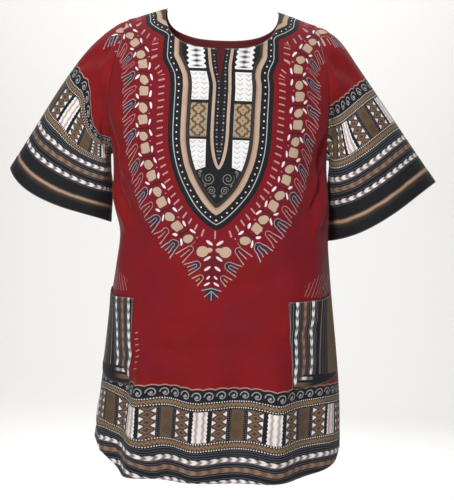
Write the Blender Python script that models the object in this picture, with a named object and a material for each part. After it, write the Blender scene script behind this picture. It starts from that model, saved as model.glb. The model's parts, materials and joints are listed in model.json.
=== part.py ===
"""Dashiki shirt, worn: front, back, two sleeves and two patch pockets of plain-woven cotton.

Metres, +Z up, front towards -Y. The origin lies midway between the two neck points, at the
top of the shoulder seams, where the wearer's shoulders hold the shirt up.

Each piece is a grid of points on the middle of its cloth. Pieces that are sewn together share
the points and normals of their seam, so that their cut edges face each other across SEAM_GAP.
"""

import math
from collections import namedtuple

import bmesh
import bpy
from mathutils import Matrix, Vector

# Cloth
WALL = 0.0016
SEAM_GAP = 0.0003

RIM_SPLIT = Vector((0.17, 0.31, 1.0))

# Body
FRONT_LENGTH = 0.784
BACK_LENGTH = 0.778
SECTION_POWER = 2.3
NECK_HALF_WIDTH = 0.097
FRONT_NECK_DEPTH = 0.081
BACK_NECK_DEPTH = 0.038
NECK_POWER = 2.5
NECK_SPREAD = 1.5
SLIT_TOP_GAP = 0.0145
SLIT_END_GAP = 0.0022
SHOULDER_SLOPE = 0.345
SHOULDER_EASE = 0.006
SHOULDER_ROUND = 0.150

# Armholes, with angles measured round the body from the middle of the front or back
ARMHOLE_TOP_ANGLE = math.radians(56)
ARMHOLE_CURVE = 0.6
SIDE_ANGLE = math.radians(90)
UNDERARM_HEIGHT = -0.250

# How far each panel's edge swings in at the foot of the side vents. The right vent's back edge
# swings out, round towards the front.
VENT_SWING = {("front", -1): 29.0, ("front", 1): 3.5, ("back", -1): -22.0, ("back", 1): 3.0}

# Grid of a body panel: columns across it, rows down it
NECK_COLUMNS = 9
SHOULDER_COLUMNS = 6
ARMHOLE_ROWS = 14
SIDE_ROWS = 22
VENT_ROWS = 4
SLIT_ROWS = 5

HALF_COLUMNS = NECK_COLUMNS + SHOULDER_COLUMNS
ROWS = ARMHOLE_ROWS + SIDE_ROWS
NECK_SHARE = NECK_COLUMNS / HALF_COLUMNS

# Pockets, in columns out from the middle front and rows below the underarm
POCKET_COLUMNS = {-1: (7, 15), 1: (6, 14)}
POCKET_ROWS = (10, 16)
POCKET_EDGE_INSET = 0.10
POCKET_MOUTH_EASE = 0.0012
POCKET_MOUTH_FADE = 0.050

SLEEVE_POWER = 2.15
SLEEVE_BLEND = 0.55

RED_CLOTH = (0.36, 0.012, 0.022, 1.0)
DARK_CLOTH = (0.022, 0.026, 0.030, 1.0)

# Cross-sections of the body, from the shoulders down to the hem
BodySection = namedtuple(
    "BodySection", "height half_width front_depth back_depth shift_x shift_y turn_degrees"
)
BODY_SECTIONS = (
    BodySection(0.000, 0.187, 0.104, 0.088, 0.001, 0.000, 0.0),
    BodySection(-0.064, 0.200, 0.114, 0.098, 0.001, 0.000, 0.0),
    BodySection(-0.145, 0.204, 0.124, 0.108, 0.001, -0.003, 0.0),
    BodySection(-0.200, 0.193, 0.129, 0.112, 0.002, -0.008, -1.0),
    BodySection(-0.250, 0.182, 0.131, 0.115, 0.004, -0.012, -2.0),
    BodySection(-0.336, 0.183, 0.130, 0.118, 0.010, -0.015, -4.0),
    BodySection(-0.386, 0.177, 0.129, 0.121, 0.016, -0.015, -5.0),
    BodySection(-0.443, 0.182, 0.131, 0.125, 0.016, -0.014, -6.0),
    BodySection(-0.495, 0.188, 0.134, 0.128, 0.016, -0.013, -6.0),
    BodySection(-0.585, 0.197, 0.139, 0.134, 0.018, -0.012, -6.0),
    BodySection(-0.655, 0.204, 0.143, 0.138, 0.018, -0.011, -6.0),
    BodySection(-0.737, 0.210, 0.147, 0.142, 0.016, -0.010, -6.0),
    BodySection(-0.790, 0.212, 0.149, 0.144, 0.016, -0.010, -6.0),
)

# Outline of each sleeve from the armhole to its hem, seen from the front, and its depth
SleeveSection = namedtuple(
    "SleeveSection", "along top_x top_height under_x under_height half_depth middle_y"
)
SLEEVE_SECTIONS = {
    -1: (
        SleeveSection(0.00, 0.160, -0.022, 0.178, -0.250, 0.070, -0.006),
        SleeveSection(0.06, 0.178, -0.030, 0.1835, -0.2495, 0.070, -0.004),
        SleeveSection(0.15, 0.202, -0.047, 0.1850, -0.2570, 0.068, 0.000),
        SleeveSection(0.30, 0.234, -0.080, 0.1840, -0.279, 0.066, 0.004),
        SleeveSection(0.50, 0.273, -0.136, 0.1830, -0.305, 0.065, 0.008),
        SleeveSection(0.75, 0.316, -0.209, 0.1830, -0.337, 0.066, 0.011),
        SleeveSection(1.00, 0.3575, -0.280, 0.1845, -0.369, 0.068, 0.013),
    ),
    1: (
        SleeveSection(0.00, 0.160, -0.022, 0.185, -0.250, 0.070, -0.006),
        SleeveSection(0.06, 0.178, -0.027, 0.1905, -0.2495, 0.070, -0.004),
        SleeveSection(0.15, 0.203, -0.045, 0.1935, -0.2570, 0.068, 0.000),
        SleeveSection(0.30, 0.235, -0.085, 0.1935, -0.279, 0.066, 0.004),
        SleeveSection(0.50, 0.279, -0.143, 0.1950, -0.311, 0.066, 0.008),
        SleeveSection(0.75, 0.329, -0.211, 0.1980, -0.350, 0.067, 0.011),
        SleeveSection(1.00, 0.380, -0.280, 0.2010, -0.389, 0.069, 0.013),
    ),
}
SLEEVE_RINGS = (0.0, 0.05, 0.11, 0.19, 0.28, 0.37, 0.46, 0.55, 0.64, 0.73, 0.82, 0.91, 1.0)

# How far the front and back of each sleeve's hem drop, and how far the drop leans to its top
SleeveHem = namedtuple("SleeveHem", "drop lean")
SLEEVE_HEMS = {-1: SleeveHem(0.019, 0.6), 1: SleeveHem(0.011, -0.9)}

# Rise of the body's hem towards each side seam, and more of it at the corner of the vent
HemSide = namedtuple("HemSide", "lift power corner_lift corner_from corner_to")
HEM_SIDES = {
    ("front", -1): HemSide(0.000, 2.0, 0.034, 0.58, 1.04),
    ("front", 1): HemSide(0.040, 2.2, 0.010, 0.84, 1.00),
    ("back", -1): HemSide(-0.0177, 8.0, 0.044, 0.30, 0.80),
    ("back", 1): HemSide(0.040, 2.2, 0.010, 0.84, 1.00),
}

# Largest folds. "across" is metres from the middle of the panel, or degrees round the sleeve
# from its top, forwards; "down" is the height, or the share of the sleeve's length.
Fold = namedtuple("Fold", "across_from down_from across_to down_to depth width")
FRONT_FOLDS = (
    Fold(-0.140, -0.800, -0.132, -0.620, -0.010, 0.026),
    Fold(-0.094, -0.800, -0.090, -0.590, 0.015, 0.023),
    Fold(-0.053, -0.800, -0.056, -0.630, -0.009, 0.021),
    Fold(-0.012, -0.800, -0.010, -0.600, 0.012, 0.021),
    Fold(0.032, -0.800, 0.034, -0.620, -0.011, 0.024),
    Fold(0.086, -0.800, 0.082, -0.580, 0.015, 0.024),
    Fold(0.148, -0.800, 0.140, -0.620, -0.010, 0.030),
    Fold(-0.215, -0.240, -0.120, -0.400, -0.007, 0.022),
    Fold(0.205, -0.230, 0.130, -0.390, -0.006, 0.022),
    Fold(-0.205, -0.100, -0.190, -0.330, 0.006, 0.018),
    Fold(0.205, -0.100, 0.195, -0.330, 0.006, 0.018),
    Fold(-0.190, -0.400, -0.150, -0.560, 0.005, 0.030),
    Fold(0.190, -0.400, 0.160, -0.560, 0.005, 0.030),
)
BACK_FOLDS = (
    Fold(-0.150, -0.800, -0.110, -0.360, 0.012, 0.026),
    Fold(-0.085, -0.800, -0.060, -0.330, -0.011, 0.026),
    Fold(-0.025, -0.800, -0.012, -0.420, 0.009, 0.026),
    Fold(0.040, -0.800, 0.030, -0.350, -0.010, 0.028),
    Fold(0.105, -0.800, 0.080, -0.380, 0.011, 0.026),
    Fold(0.170, -0.800, 0.140, -0.330, -0.010, 0.026),
    Fold(-0.200, -0.150, -0.120, -0.300, -0.007, 0.022),
    Fold(0.200, -0.150, 0.120, -0.300, -0.007, 0.022),
)
SLEEVE_FOLDS = {
    -1: (
        Fold(118.0, 0.04, 92.0, 0.62, -0.009, 14.0),
        Fold(62.0, 0.10, 58.0, 0.50, -0.005, 14.0),
        Fold(135.0, 0.35, 128.0, 1.00, 0.006, 15.0),
        Fold(262.0, 0.08, 255.0, 0.80, -0.007, 16.0),
        Fold(300.0, 0.30, 296.0, 1.00, 0.006, 16.0),
    ),
    1: (
        Fold(112.0, 0.04, 96.0, 0.55, -0.008, 14.0),
        Fold(70.0, 0.08, 60.0, 0.45, -0.005, 14.0),
        Fold(80.0, 0.45, 76.0, 1.00, 0.006, 16.0),
        Fold(258.0, 0.08, 264.0, 0.80, -0.007, 16.0),
        Fold(305.0, 0.30, 298.0, 1.00, 0.006, 16.0),
    ),
}
FRONT_HALF_WIDTH = 0.272


def mix(low, high, share):
    return low + (high - low) * share


def ease(value):
    """0 at and below 0, 1 at and above 1, and smooth between."""
    value = min(1.0, max(0.0, value))
    return value * value * (3 - 2 * value)


def rounded(value, power):
    """A signed sine or cosine bent so that it draws a superellipse of that power."""
    return math.copysign(abs(value) ** (2 / power), value)


def smooth_row(rows, position):
    """The table's row at this position of its first column, on smooth curves through its rows."""
    rising = rows[-1][0] > rows[0][0]
    inside = max(0, min(len(rows) - 2, sum((r[0] <= position) == rising for r in rows[1:])))
    before, after = rows[inside], rows[inside + 1]
    span = after[0] - before[0]
    share = min(1.0, max(0.0, (position - before[0]) / span))
    values = [position]
    for column in range(1, len(before)):
        slopes = []
        for at in (inside, inside + 1):
            low, high = rows[max(at - 1, 0)], rows[min(at + 1, len(rows) - 1)]
            slopes.append((high[column] - low[column]) / (high[0] - low[0]) * span)
        rise = after[column] - before[column]
        value = before[column] + share * (
            slopes[0] + share * (3 * rise - 2 * slopes[0] - slopes[1]
                                 + share * (slopes[0] + slopes[1] - 2 * rise))
        )
        values.append(value)
    return type(before)(*values)


def shoulder_height(x):
    """Height of the shoulder line this far out from the middle."""
    out = abs(x) - NECK_HALF_WIDTH
    return -SHOULDER_SLOPE * (out + math.hypot(out, SHOULDER_EASE) - SHOULDER_EASE) / 2


def shoulder_rise(drop):
    """Share of the body's full depth at this drop below the shoulder line."""
    share = min(1.0, max(0.0, drop / SHOULDER_ROUND))
    return math.sqrt(1 - (1 - share) ** 2)


def body_point(angle, height, front):
    """Point on the body's cloth at this angle from the middle of the front or back."""
    section = smooth_row(BODY_SECTIONS, height)
    depth = -section.front_depth if front else section.back_depth
    x = section.half_width * rounded(math.sin(angle), SECTION_POWER)
    y = depth * rounded(math.cos(angle), SECTION_POWER)
    y *= shoulder_rise(shoulder_height(x) - height)
    turned = Matrix.Rotation(math.radians(section.turn_degrees), 3, "Z") @ Vector((x, y, 0))
    return turned + Vector((section.shift_x, section.shift_y, height))


def angle_at(x, height):
    """The body angle whose point is this far out at this height."""
    half = smooth_row(BODY_SECTIONS, height).half_width
    return math.asin(min(1.0, (abs(x) / half) ** (SECTION_POWER / 2)))


def shoulder_end():
    """Distance out and height of the shoulder seam's outer end."""
    height = 0.0
    for _ in range(20):
        half = smooth_row(BODY_SECTIONS, height).half_width
        out = half * rounded(math.sin(ARMHOLE_TOP_ANGLE), SECTION_POWER)
        height = shoulder_height(out)
    return out, height


SHOULDER_OUT, SHOULDER_END_HEIGHT = shoulder_end()


def armhole_angle(height):
    """Body angle of the armhole's edge, which closes on the side seam at the underarm."""
    share = (height - UNDERARM_HEIGHT) / (SHOULDER_END_HEIGHT - UNDERARM_HEIGHT)
    share = min(1.0, max(0.0, share))
    return mix(SIDE_ANGLE, ARMHOLE_TOP_ANGLE, (1 - (1 - share) ** 2) ** ARMHOLE_CURVE)


def top_edge(column, front):
    """Distance out and height of a column's top, on the neckline or the shoulder seam."""
    share = abs(column)
    if share >= NECK_SHARE:
        out = mix(NECK_HALF_WIDTH, SHOULDER_OUT, (share - NECK_SHARE) / (1 - NECK_SHARE))
        return out, shoulder_height(out)
    depth = FRONT_NECK_DEPTH if front else BACK_NECK_DEPTH
    turn = (1 - (1 - share / NECK_SHARE) ** NECK_SPREAD) * math.pi / 2
    out = NECK_HALF_WIDTH * rounded(math.sin(turn), NECK_POWER)
    return out, -depth * rounded(math.cos(turn), NECK_POWER)


def side_limit(row, side, front):
    """Body angle of a panel's side edge at a row below the underarm."""
    below = (row - (ROWS - VENT_ROWS)) / VENT_ROWS
    swing = VENT_SWING[("front" if front else "back", side)]
    return SIDE_ANGLE - math.radians(swing) * ease(below)


def panel_place(column, row, front):
    """Angle and height of a panel's point. Columns run from -1 to 1 and rows from 0 to ROWS."""
    side = -1 if column < 0 else 1
    out, top_height = top_edge(column, front)
    if row <= ARMHOLE_ROWS:
        even = row / ARMHOLE_ROWS
        bunched = (1 - math.cos(math.pi * even)) / 2
        share = mix(even, bunched, abs(column) ** 3)
        height = mix(top_height, UNDERARM_HEIGHT, share)
        limit = armhole_angle(mix(SHOULDER_END_HEIGHT, UNDERARM_HEIGHT, bunched))
        top_share = angle_at(out, top_height) / ARMHOLE_TOP_ANGLE
        angle = side * mix(top_share, abs(column), ease(even)) * limit
        return angle, height
    share = (row - ARMHOLE_ROWS) / SIDE_ROWS
    length = FRONT_LENGTH if front else BACK_LENGTH
    edge = HEM_SIDES[("front" if front else "back", side)]
    hem = -length + edge.lift * abs(column) ** edge.power
    corner = (abs(column) - edge.corner_from) / (edge.corner_to - edge.corner_from)
    hem += edge.corner_lift * ease(corner)
    return column * side_limit(row, side, front), mix(UNDERARM_HEIGHT, hem, share)


def fold_depth(folds, across, down, unit_down):
    """Height of the folds' ridges, less the depth of their troughs, at a place on the cloth."""
    total = 0.0
    for fold in folds:
        run = fold.across_to - fold.across_from, (fold.down_to - fold.down_from) * unit_down
        gone = across - fold.across_from, (down - fold.down_from) * unit_down
        length = math.hypot(*run)
        along = (gone[0] * run[0] + gone[1] * run[1]) / length ** 2
        off = (gone[0] * run[1] - gone[1] * run[0]) / length
        fade = ease(along / 0.2 + 1) * ease((1.15 - along) / 0.45)
        total += fold.depth * fade * math.exp(-((off / fold.width) ** 2))
    return total


def grid_normals(grid, wraps):
    """Outward normals of a grid of points, row by row. A grid that wraps is a tube."""
    rows, columns = len(grid), len(grid[0])
    normals = []
    for i in range(rows):
        line = []
        for j in range(columns):
            if wraps:
                across = grid[i][(j + 1) % columns] - grid[i][j - 1]
            else:
                across = grid[i][min(j + 1, columns - 1)] - grid[i][max(j - 1, 0)]
            down = grid[min(i + 1, rows - 1)][j] - grid[max(i - 1, 0)][j]
            line.append(down.cross(across).normalized())
        normals.append(line)
    return normals


def body_panel(front):
    """Grid of a body panel's points, with its folds."""
    folds = FRONT_FOLDS if front else BACK_FOLDS
    columns = [j / HALF_COLUMNS for j in range(-HALF_COLUMNS, HALF_COLUMNS + 1)]
    places = [[panel_place(c, row, front) for c in columns] for row in range(ROWS + 1)]
    grid = [[body_point(*place, front) for place in line] for line in places]
    normals = grid_normals(grid, False)
    for i, line in enumerate(places):
        for j, (angle, height) in enumerate(line):
            held = (1 - columns[j] ** 8) * ease(i / 6)
            across = angle / SIDE_ANGLE * FRONT_HALF_WIDTH
            rise = fold_depth(folds, across, height, 1.0) * held
            grid[i][j] += normals[i][j] * (rise if front else -rise)
    return grid


def armhole(front_grid, back_grid, side):
    """The armhole's loop of points: down the front from the shoulder, then up the back."""
    edge = 0 if side < 0 else -1
    down = [front_grid[i][edge].copy() for i in range(ARMHOLE_ROWS + 1)]
    up = [back_grid[i][edge].copy() for i in range(ARMHOLE_ROWS - 1, 0, -1)]
    return down + up


def sleeve_ring_point(side, along, turn):
    """Point of a sleeve before its armhole end is fitted. Turn 0 is the top, and pi/2 the front."""
    section = smooth_row(SLEEVE_SECTIONS[side], along)
    top = Vector((side * section.top_x, section.middle_y, section.top_height))
    under = Vector((side * section.under_x, section.middle_y, section.under_height))
    middle, half = (top + under) / 2, (top - under) / 2
    hang = Vector((side * -half.z, 0, side * half.x)).normalized()
    hang = hang if hang.z < 0 else -hang
    point = middle + half * rounded(math.cos(turn), SLEEVE_POWER)
    point.y -= section.half_depth * rounded(math.sin(turn), SLEEVE_POWER)
    hem = SLEEVE_HEMS[side]
    drop = hem.drop * math.sin(turn) ** 2 * (1 + hem.lean * math.cos(turn))
    return point + hang * drop * along ** 2


def sleeve_grid(side, loop):
    """Rings of a sleeve from its armhole loop to its hem."""
    count = len(loop)
    turns = [2 * math.pi * k / count for k in range(count)]
    fit = [loop[k] - sleeve_ring_point(side, 0.0, turns[k]) for k in range(count)]
    grid = []
    for along in SLEEVE_RINGS:
        keep = 1 - ease(along / SLEEVE_BLEND)
        grid.append([sleeve_ring_point(side, along, turns[k]) + fit[k] * keep
                     for k in range(count)])
    normals = grid_normals(grid, True)
    for i, along in enumerate(SLEEVE_RINGS):
        for k, turn in enumerate(turns):
            rise = fold_depth(SLEEVE_FOLDS[side], math.degrees(turn), along, 60.0)
            grid[i][k] += normals[i][k] * (-side * rise * ease(along / 0.08))
    return grid


def share_normal(*places):
    """Gives the grids that meet at a seam point one normal. Each place is a row of normals and an index."""
    total = sum((row[index] for row, index in places), Vector())
    for row, index in places:
        row[index] = total.normalized()


def drawn_in(grid, normals, edge, distance):
    """Moves the points of an edge along the cloth, away from the edge, by this distance.

    The edge is a closed loop of (row, column) places that runs round the piece."""
    moved = {}
    for at, (i, j) in enumerate(edge):
        before, after = edge[at - 1], edge[(at + 1) % len(edge)]
        line = (grid[after[0]][after[1]] - grid[before[0]][before[1]]).normalized()
        moved[(i, j)] = line.cross(normals[i][j]).normalized() * distance
    for (i, j), step in moved.items():
        grid[i][j] = grid[i][j] + step


def turned_over(face):
    """The face seen from its other side, still split along its first diagonal."""
    return face[0], face[3], face[2], face[1]


def wall_mesh(name, grid, normals, faces, thickness):
    """Closed wall whose skins lie half the thickness either side of the grid's faces.

    Each rim face is split from its outer corner furthest along RIM_SPLIT, so that the two
    rims of a seam are split alike."""
    mesh = bmesh.new()
    skins = []
    for offset in (thickness / 2, -thickness / 2):
        skins.append({
            (i, j): mesh.verts.new(grid[i][j] + normals[i][j] * offset)
            for i, j in sorted({place for face in faces for place in face})
        })
    outer, inner = skins
    for face in faces:
        mesh.faces.new([outer[place] for place in face])
        mesh.faces.new([inner[place] for place in turned_over(face)])
    sides = {(face[k - 1], face[k]) for face in faces for k in range(len(face))}
    for start, end in sorted(sides):
        if (end, start) in sides:
            continue
        rim = [outer[end], outer[start], inner[start], inner[end]]
        fall = grid[end[0]][end[1]] - grid[start[0]][start[1]]
        mesh.faces.new(rim if fall.dot(RIM_SPLIT) > 0 else rim[1:] + rim[:1])
    bmesh.ops.triangulate(mesh, faces=mesh.faces[:], quad_method="FIXED")
    data = bpy.data.meshes.new(name)
    mesh.to_mesh(data)
    mesh.free()
    data.shade_smooth()
    data.set_sharp_from_angle(angle=math.radians(50))
    return data


def quads(rows, columns, lean=0, wraps=False):
    """Faces of a grid, seen from outside. Each is its four (row, column) places.

    Their first diagonals run down to the right for lean 1, down to the left for lean -1, and
    outwards from the middle column for lean 0."""
    found = []
    for i in range(rows - 1):
        for j in range(columns if wraps else columns - 1):
            right = (j + 1) % columns
            face = (i, j), (i + 1, j), (i + 1, right), (i, right)
            to_right = lean > 0 or lean == 0 and j >= columns // 2
            found.append(face if to_right else face[3:] + face[:3])
    return found


def cloth_material(name, colour):
    material = bpy.data.materials.new(name)
    material.use_nodes = True
    shader = material.node_tree.nodes["Principled BSDF"]
    shader.inputs["Base Color"].default_value = colour
    shader.inputs["Roughness"].default_value = 0.85
    shader.inputs["Metallic"].default_value = 0.0
    return material


def add_piece(name, data, colour, collection):
    piece = bpy.data.objects.new(name, data)
    piece.data.materials.append(cloth_material(name + "_cloth", colour))
    collection.objects.link(piece)
    return piece


def panel_edge(rows, columns):
    """Places round the edge of a panel, in the order that draws the edge inwards."""
    down = [(i, 0) for i in range(rows)]
    along = [(rows - 1, j) for j in range(1, columns)]
    up = [(i, columns - 1) for i in range(rows - 2, -1, -1)]
    back = [(0, j) for j in range(columns - 2, 0, -1)]
    return down + along + up + back


def open_slit(grid, normals, faces):
    """Splits the front's middle column above the slit's end, as a narrow V."""
    middle, extra = HALF_COLUMNS, len(grid[0])
    for i, line in enumerate(grid):
        line.append(line[middle].copy())
        normals[i].append(normals[i][middle].copy())
        if i >= SLIT_ROWS:
            continue
        half_gap = mix(SLIT_TOP_GAP, SLIT_END_GAP, i / SLIT_ROWS) / 2
        for column, side in ((middle, -1), (extra, 1)):
            line[column] += Vector((side * half_gap, 0, 0))
    turned = []
    for face in faces:
        right_half = max(j for _, j in face) > middle
        turned.append(tuple(
            (i, extra) if right_half and j == middle and i < SLIT_ROWS else (i, j)
            for i, j in face
        ))
    return turned


def pocket_grid(grid, normals, side):
    """Grid and normals of a pocket, from the front panel's own points moved out."""
    spread = WALL + SEAM_GAP
    first, last = POCKET_COLUMNS[side]
    columns = [HALF_COLUMNS + side * j for j in range(first, last + 1)]
    columns = columns if side > 0 else columns[::-1]
    rows = [ARMHOLE_ROWS + i for i in range(POCKET_ROWS[0], POCKET_ROWS[1] + 1)]
    mouth = grid[rows[0]][columns[0]].z
    points, outward = [], []
    for i in rows:
        line = []
        for at, j in enumerate(columns):
            middle = math.sin(math.pi * at / (len(columns) - 1))
            fade = ease(1 - (mouth - grid[i][j].z) / POCKET_MOUTH_FADE)
            line.append(grid[i][j] + normals[i][j] * (spread + POCKET_MOUTH_EASE * middle * fade))
        points.append(line)
        outward.append([normals[i][j] for j in columns])
    for line in points:
        line[0] = line[0].lerp(line[1], POCKET_EDGE_INSET)
        line[-1] = line[-1].lerp(line[-2], POCKET_EDGE_INSET)
    points[0] = [a.lerp(b, POCKET_EDGE_INSET) for a, b in zip(points[0], points[1])]
    points[-1] = [a.lerp(b, POCKET_EDGE_INSET) for a, b in zip(points[-1], points[-2])]
    return points, outward


def build():
    for old in list(bpy.data.objects):
        bpy.data.objects.remove(old)
    collection = bpy.data.collections.new("dashiki_shirt")
    bpy.context.scene.collection.children.link(collection)

    front, back = body_panel(True), body_panel(False)
    columns = 2 * HALF_COLUMNS + 1
    front_normals = grid_normals(front, False)
    back_normals = [[-n for n in line] for line in grid_normals(back, False)]
    sleeves = {side: sleeve_grid(side, armhole(front, back, side)) for side in (-1, 1)}
    sleeve_normals = {
        side: [[n * -side for n in line] for line in grid_normals(grid, True)]
        for side, grid in sleeves.items()
    }

    for j in range(columns):
        if abs(j - HALF_COLUMNS) >= NECK_COLUMNS:
            share_normal((front_normals[0], j), (back_normals[0], j))
    for side in (-1, 1):
        edge, ring = (0 if side < 0 else columns - 1), sleeve_normals[side][0]
        for i in range(ARMHOLE_ROWS + 1):
            front_place, back_place = (front_normals[i], edge), (back_normals[i], edge)
            if i in (0, ARMHOLE_ROWS):
                share_normal(front_place, back_place, (ring, i))
            else:
                share_normal(front_place, (ring, i))
                share_normal(back_place, (ring, 2 * ARMHOLE_ROWS - i))
        for i in range(ARMHOLE_ROWS + 1, ROWS - VENT_ROWS + 1):
            share_normal((front_normals[i], edge), (back_normals[i], edge))

    pockets = {side: pocket_grid(front, front_normals, side) for side in (-1, 1)}

    faces = quads(ROWS + 1, columns)
    round_panel = panel_edge(ROWS + 1, columns)
    drawn_in(front, front_normals, round_panel, -SEAM_GAP / 2)
    drawn_in(back, back_normals, round_panel, SEAM_GAP / 2)
    front_faces = open_slit(front, front_normals, faces)
    back_faces = [turned_over(face) for face in faces]
    add_piece("front", wall_mesh("front", front, front_normals, front_faces, WALL),
              RED_CLOTH, collection)
    add_piece("back", wall_mesh("back", back, back_normals, back_faces, WALL),
              RED_CLOTH, collection)

    for side, name in ((-1, "sleeve_right"), (1, "sleeve_left")):
        grid, normals = sleeves[side], sleeve_normals[side]
        count = len(grid[0])
        drawn_in(grid, normals, [(0, k) for k in range(count)], -side * SEAM_GAP / 2)
        around = quads(len(grid), count, 1, wraps=True)
        around = around if side < 0 else [turned_over(face) for face in around]
        add_piece(name, wall_mesh(name, grid, normals, around, WALL), RED_CLOTH, collection)

    for side, name in ((-1, "pocket_right"), (1, "pocket_left")):
        grid, normals = pockets[side]
        data = wall_mesh(name, grid, normals, quads(len(grid), len(grid[0]), side), WALL)
        add_piece(name, data, DARK_CLOTH, collection)


build()
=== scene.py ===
"""Looks of the dashiki shirt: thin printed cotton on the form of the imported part.

Lengths are metres in the meshes and millimetres in the print, whose places are kept in the
pieces' UV maps: "cut" is the place on the cloth laid flat, "yoke" and "ring" are distances
along and across the neck ornament's outline and its ring of flowers, and "edge" is the distance
from a hem, mouth or neck edge.
"""

import json
import math
from collections import namedtuple
from functools import partialmethod

import bmesh
import bpy
import numpy as np
from mathutils import Matrix, Vector

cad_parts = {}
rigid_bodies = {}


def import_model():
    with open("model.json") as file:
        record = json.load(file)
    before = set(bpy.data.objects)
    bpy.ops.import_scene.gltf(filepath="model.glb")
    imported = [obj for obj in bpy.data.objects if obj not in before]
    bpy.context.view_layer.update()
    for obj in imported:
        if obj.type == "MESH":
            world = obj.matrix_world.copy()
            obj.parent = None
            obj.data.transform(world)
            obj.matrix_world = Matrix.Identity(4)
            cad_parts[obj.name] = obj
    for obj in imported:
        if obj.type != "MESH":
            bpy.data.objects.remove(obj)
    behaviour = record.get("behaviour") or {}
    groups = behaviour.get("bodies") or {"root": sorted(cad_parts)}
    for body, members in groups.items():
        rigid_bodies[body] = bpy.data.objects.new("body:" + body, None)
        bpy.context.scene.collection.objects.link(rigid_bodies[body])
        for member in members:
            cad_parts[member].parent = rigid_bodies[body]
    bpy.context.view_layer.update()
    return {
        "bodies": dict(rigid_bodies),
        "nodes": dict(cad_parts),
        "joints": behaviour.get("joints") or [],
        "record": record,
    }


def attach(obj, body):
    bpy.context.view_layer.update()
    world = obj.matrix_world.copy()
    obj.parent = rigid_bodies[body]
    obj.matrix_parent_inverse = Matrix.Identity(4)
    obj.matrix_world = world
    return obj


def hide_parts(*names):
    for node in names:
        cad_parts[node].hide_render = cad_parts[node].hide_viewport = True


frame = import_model()


# Front panel
# A printed cotton panel with a cut-round neck and a short slit, turned under and stitched.
# Its print is a neck ornament in a ring of flowers, and a patterned border above the hem.
HALF_WIDTH, FRONT_DEPTH, BACK_DEPTH, SHIFT_X, SHIFT_Y, TURN = range(1, 7)
BODY = np.array([
    # height, half width, front depth, back depth, shift x, shift y, turn in degrees
    (-0.790, 0.212, 0.149, 0.144, 0.016, -0.010, -6.0),
    (-0.737, 0.210, 0.147, 0.142, 0.016, -0.010, -6.0),
    (-0.655, 0.204, 0.143, 0.138, 0.018, -0.011, -6.0),
    (-0.585, 0.197, 0.139, 0.134, 0.018, -0.012, -6.0),
    (-0.495, 0.188, 0.134, 0.128, 0.016, -0.013, -6.0),
    (-0.443, 0.182, 0.131, 0.125, 0.016, -0.014, -6.0),
    (-0.386, 0.177, 0.129, 0.121, 0.016, -0.015, -5.0),
    (-0.336, 0.183, 0.130, 0.118, 0.010, -0.015, -4.0),
    (-0.250, 0.182, 0.131, 0.115, 0.004, -0.012, -2.0),
    (-0.200, 0.193, 0.129, 0.112, 0.002, -0.008, -1.0),
    (-0.145, 0.204, 0.124, 0.108, 0.001, -0.003, 0.0),
    (-0.064, 0.200, 0.114, 0.098, 0.001, 0.000, 0.0),
    (0.000, 0.187, 0.104, 0.088, 0.001, 0.000, 0.0),
])
BODY_POWER = 2.3
FRONT_LENGTH, BACK_LENGTH = 0.784, 0.778
NECK_HALF_WIDTH, NECK_POWER, NECK_SPREAD = 0.097, 2.5, 1.5
FRONT_NECK_DEPTH, BACK_NECK_DEPTH = 0.081, 0.038
NECK_SHARE = 9 / 15
SHOULDER_SLOPE, SHOULDER_EASE, SHOULDER_ROUND = 0.345, 0.006, 0.150
ARMHOLE_TOP, ARMHOLE_CURVE, UNDERARM = math.radians(56), 0.6, -0.250
ARMHOLE_ROWS, ROWS, VENT_ROWS, SLIT_ROWS = 14, 36, 4, 5
SLIT_GAP = 0.0145
VENT_SWING = {(True, -1): 29.0, (True, 1): 3.5, (False, -1): -28.0, (False, 1): 3.0}
HEM_SIDES = {
    # front or back and side: lift, its power, the corner's lift, and the shares between which
    # the corner rises
    (True, -1): (0.000, 2.0, 0.034, 0.58, 1.04),
    (True, 1): (0.040, 2.2, 0.010, 0.84, 1.00),
    (False, -1): (-0.0177, 8.0, 0.044, 0.30, 0.80),
    (False, 1): (0.040, 2.2, 0.010, 0.84, 1.00),
}
FOLD_WIDTH = 0.272
CLOTH = 0.0006
# Millimetres of cloth: half a panel's width, and a row above and below the underarm
HALF_PANEL, UPPER_ROW, LOWER_ROW = 240, 12, 24
# Millimetres of a turned hem and of the step at its edge, and the same in rows of a panel
HEM_TURN, HEM_STEP = 17, 2
HEM_ROWS, HEM_STEP_ROWS = HEM_TURN / 23, HEM_STEP / 23
HEM_THICKNESS, TUCKED_UNDER = 0.0004, 0.003

# Folds of the cloth run between two places. Ridges have a positive depth, troughs a negative one
Fold = namedtuple("Fold", "across_from down_from across_to down_to depth width")
Ends = namedtuple("Ends", "rise start end fall")
LONG_ENDS, SHORT_ENDS = Ends(0.2, 1.0, 1.15, 0.45), Ends(0.35, 0.3, 1.3, 0.35)


def in_metres(*rows):
    """Folds from rows in millimetres, in the order of their names above."""
    return [Fold(*(value / 1000 for value in row)) for row in rows]


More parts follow.
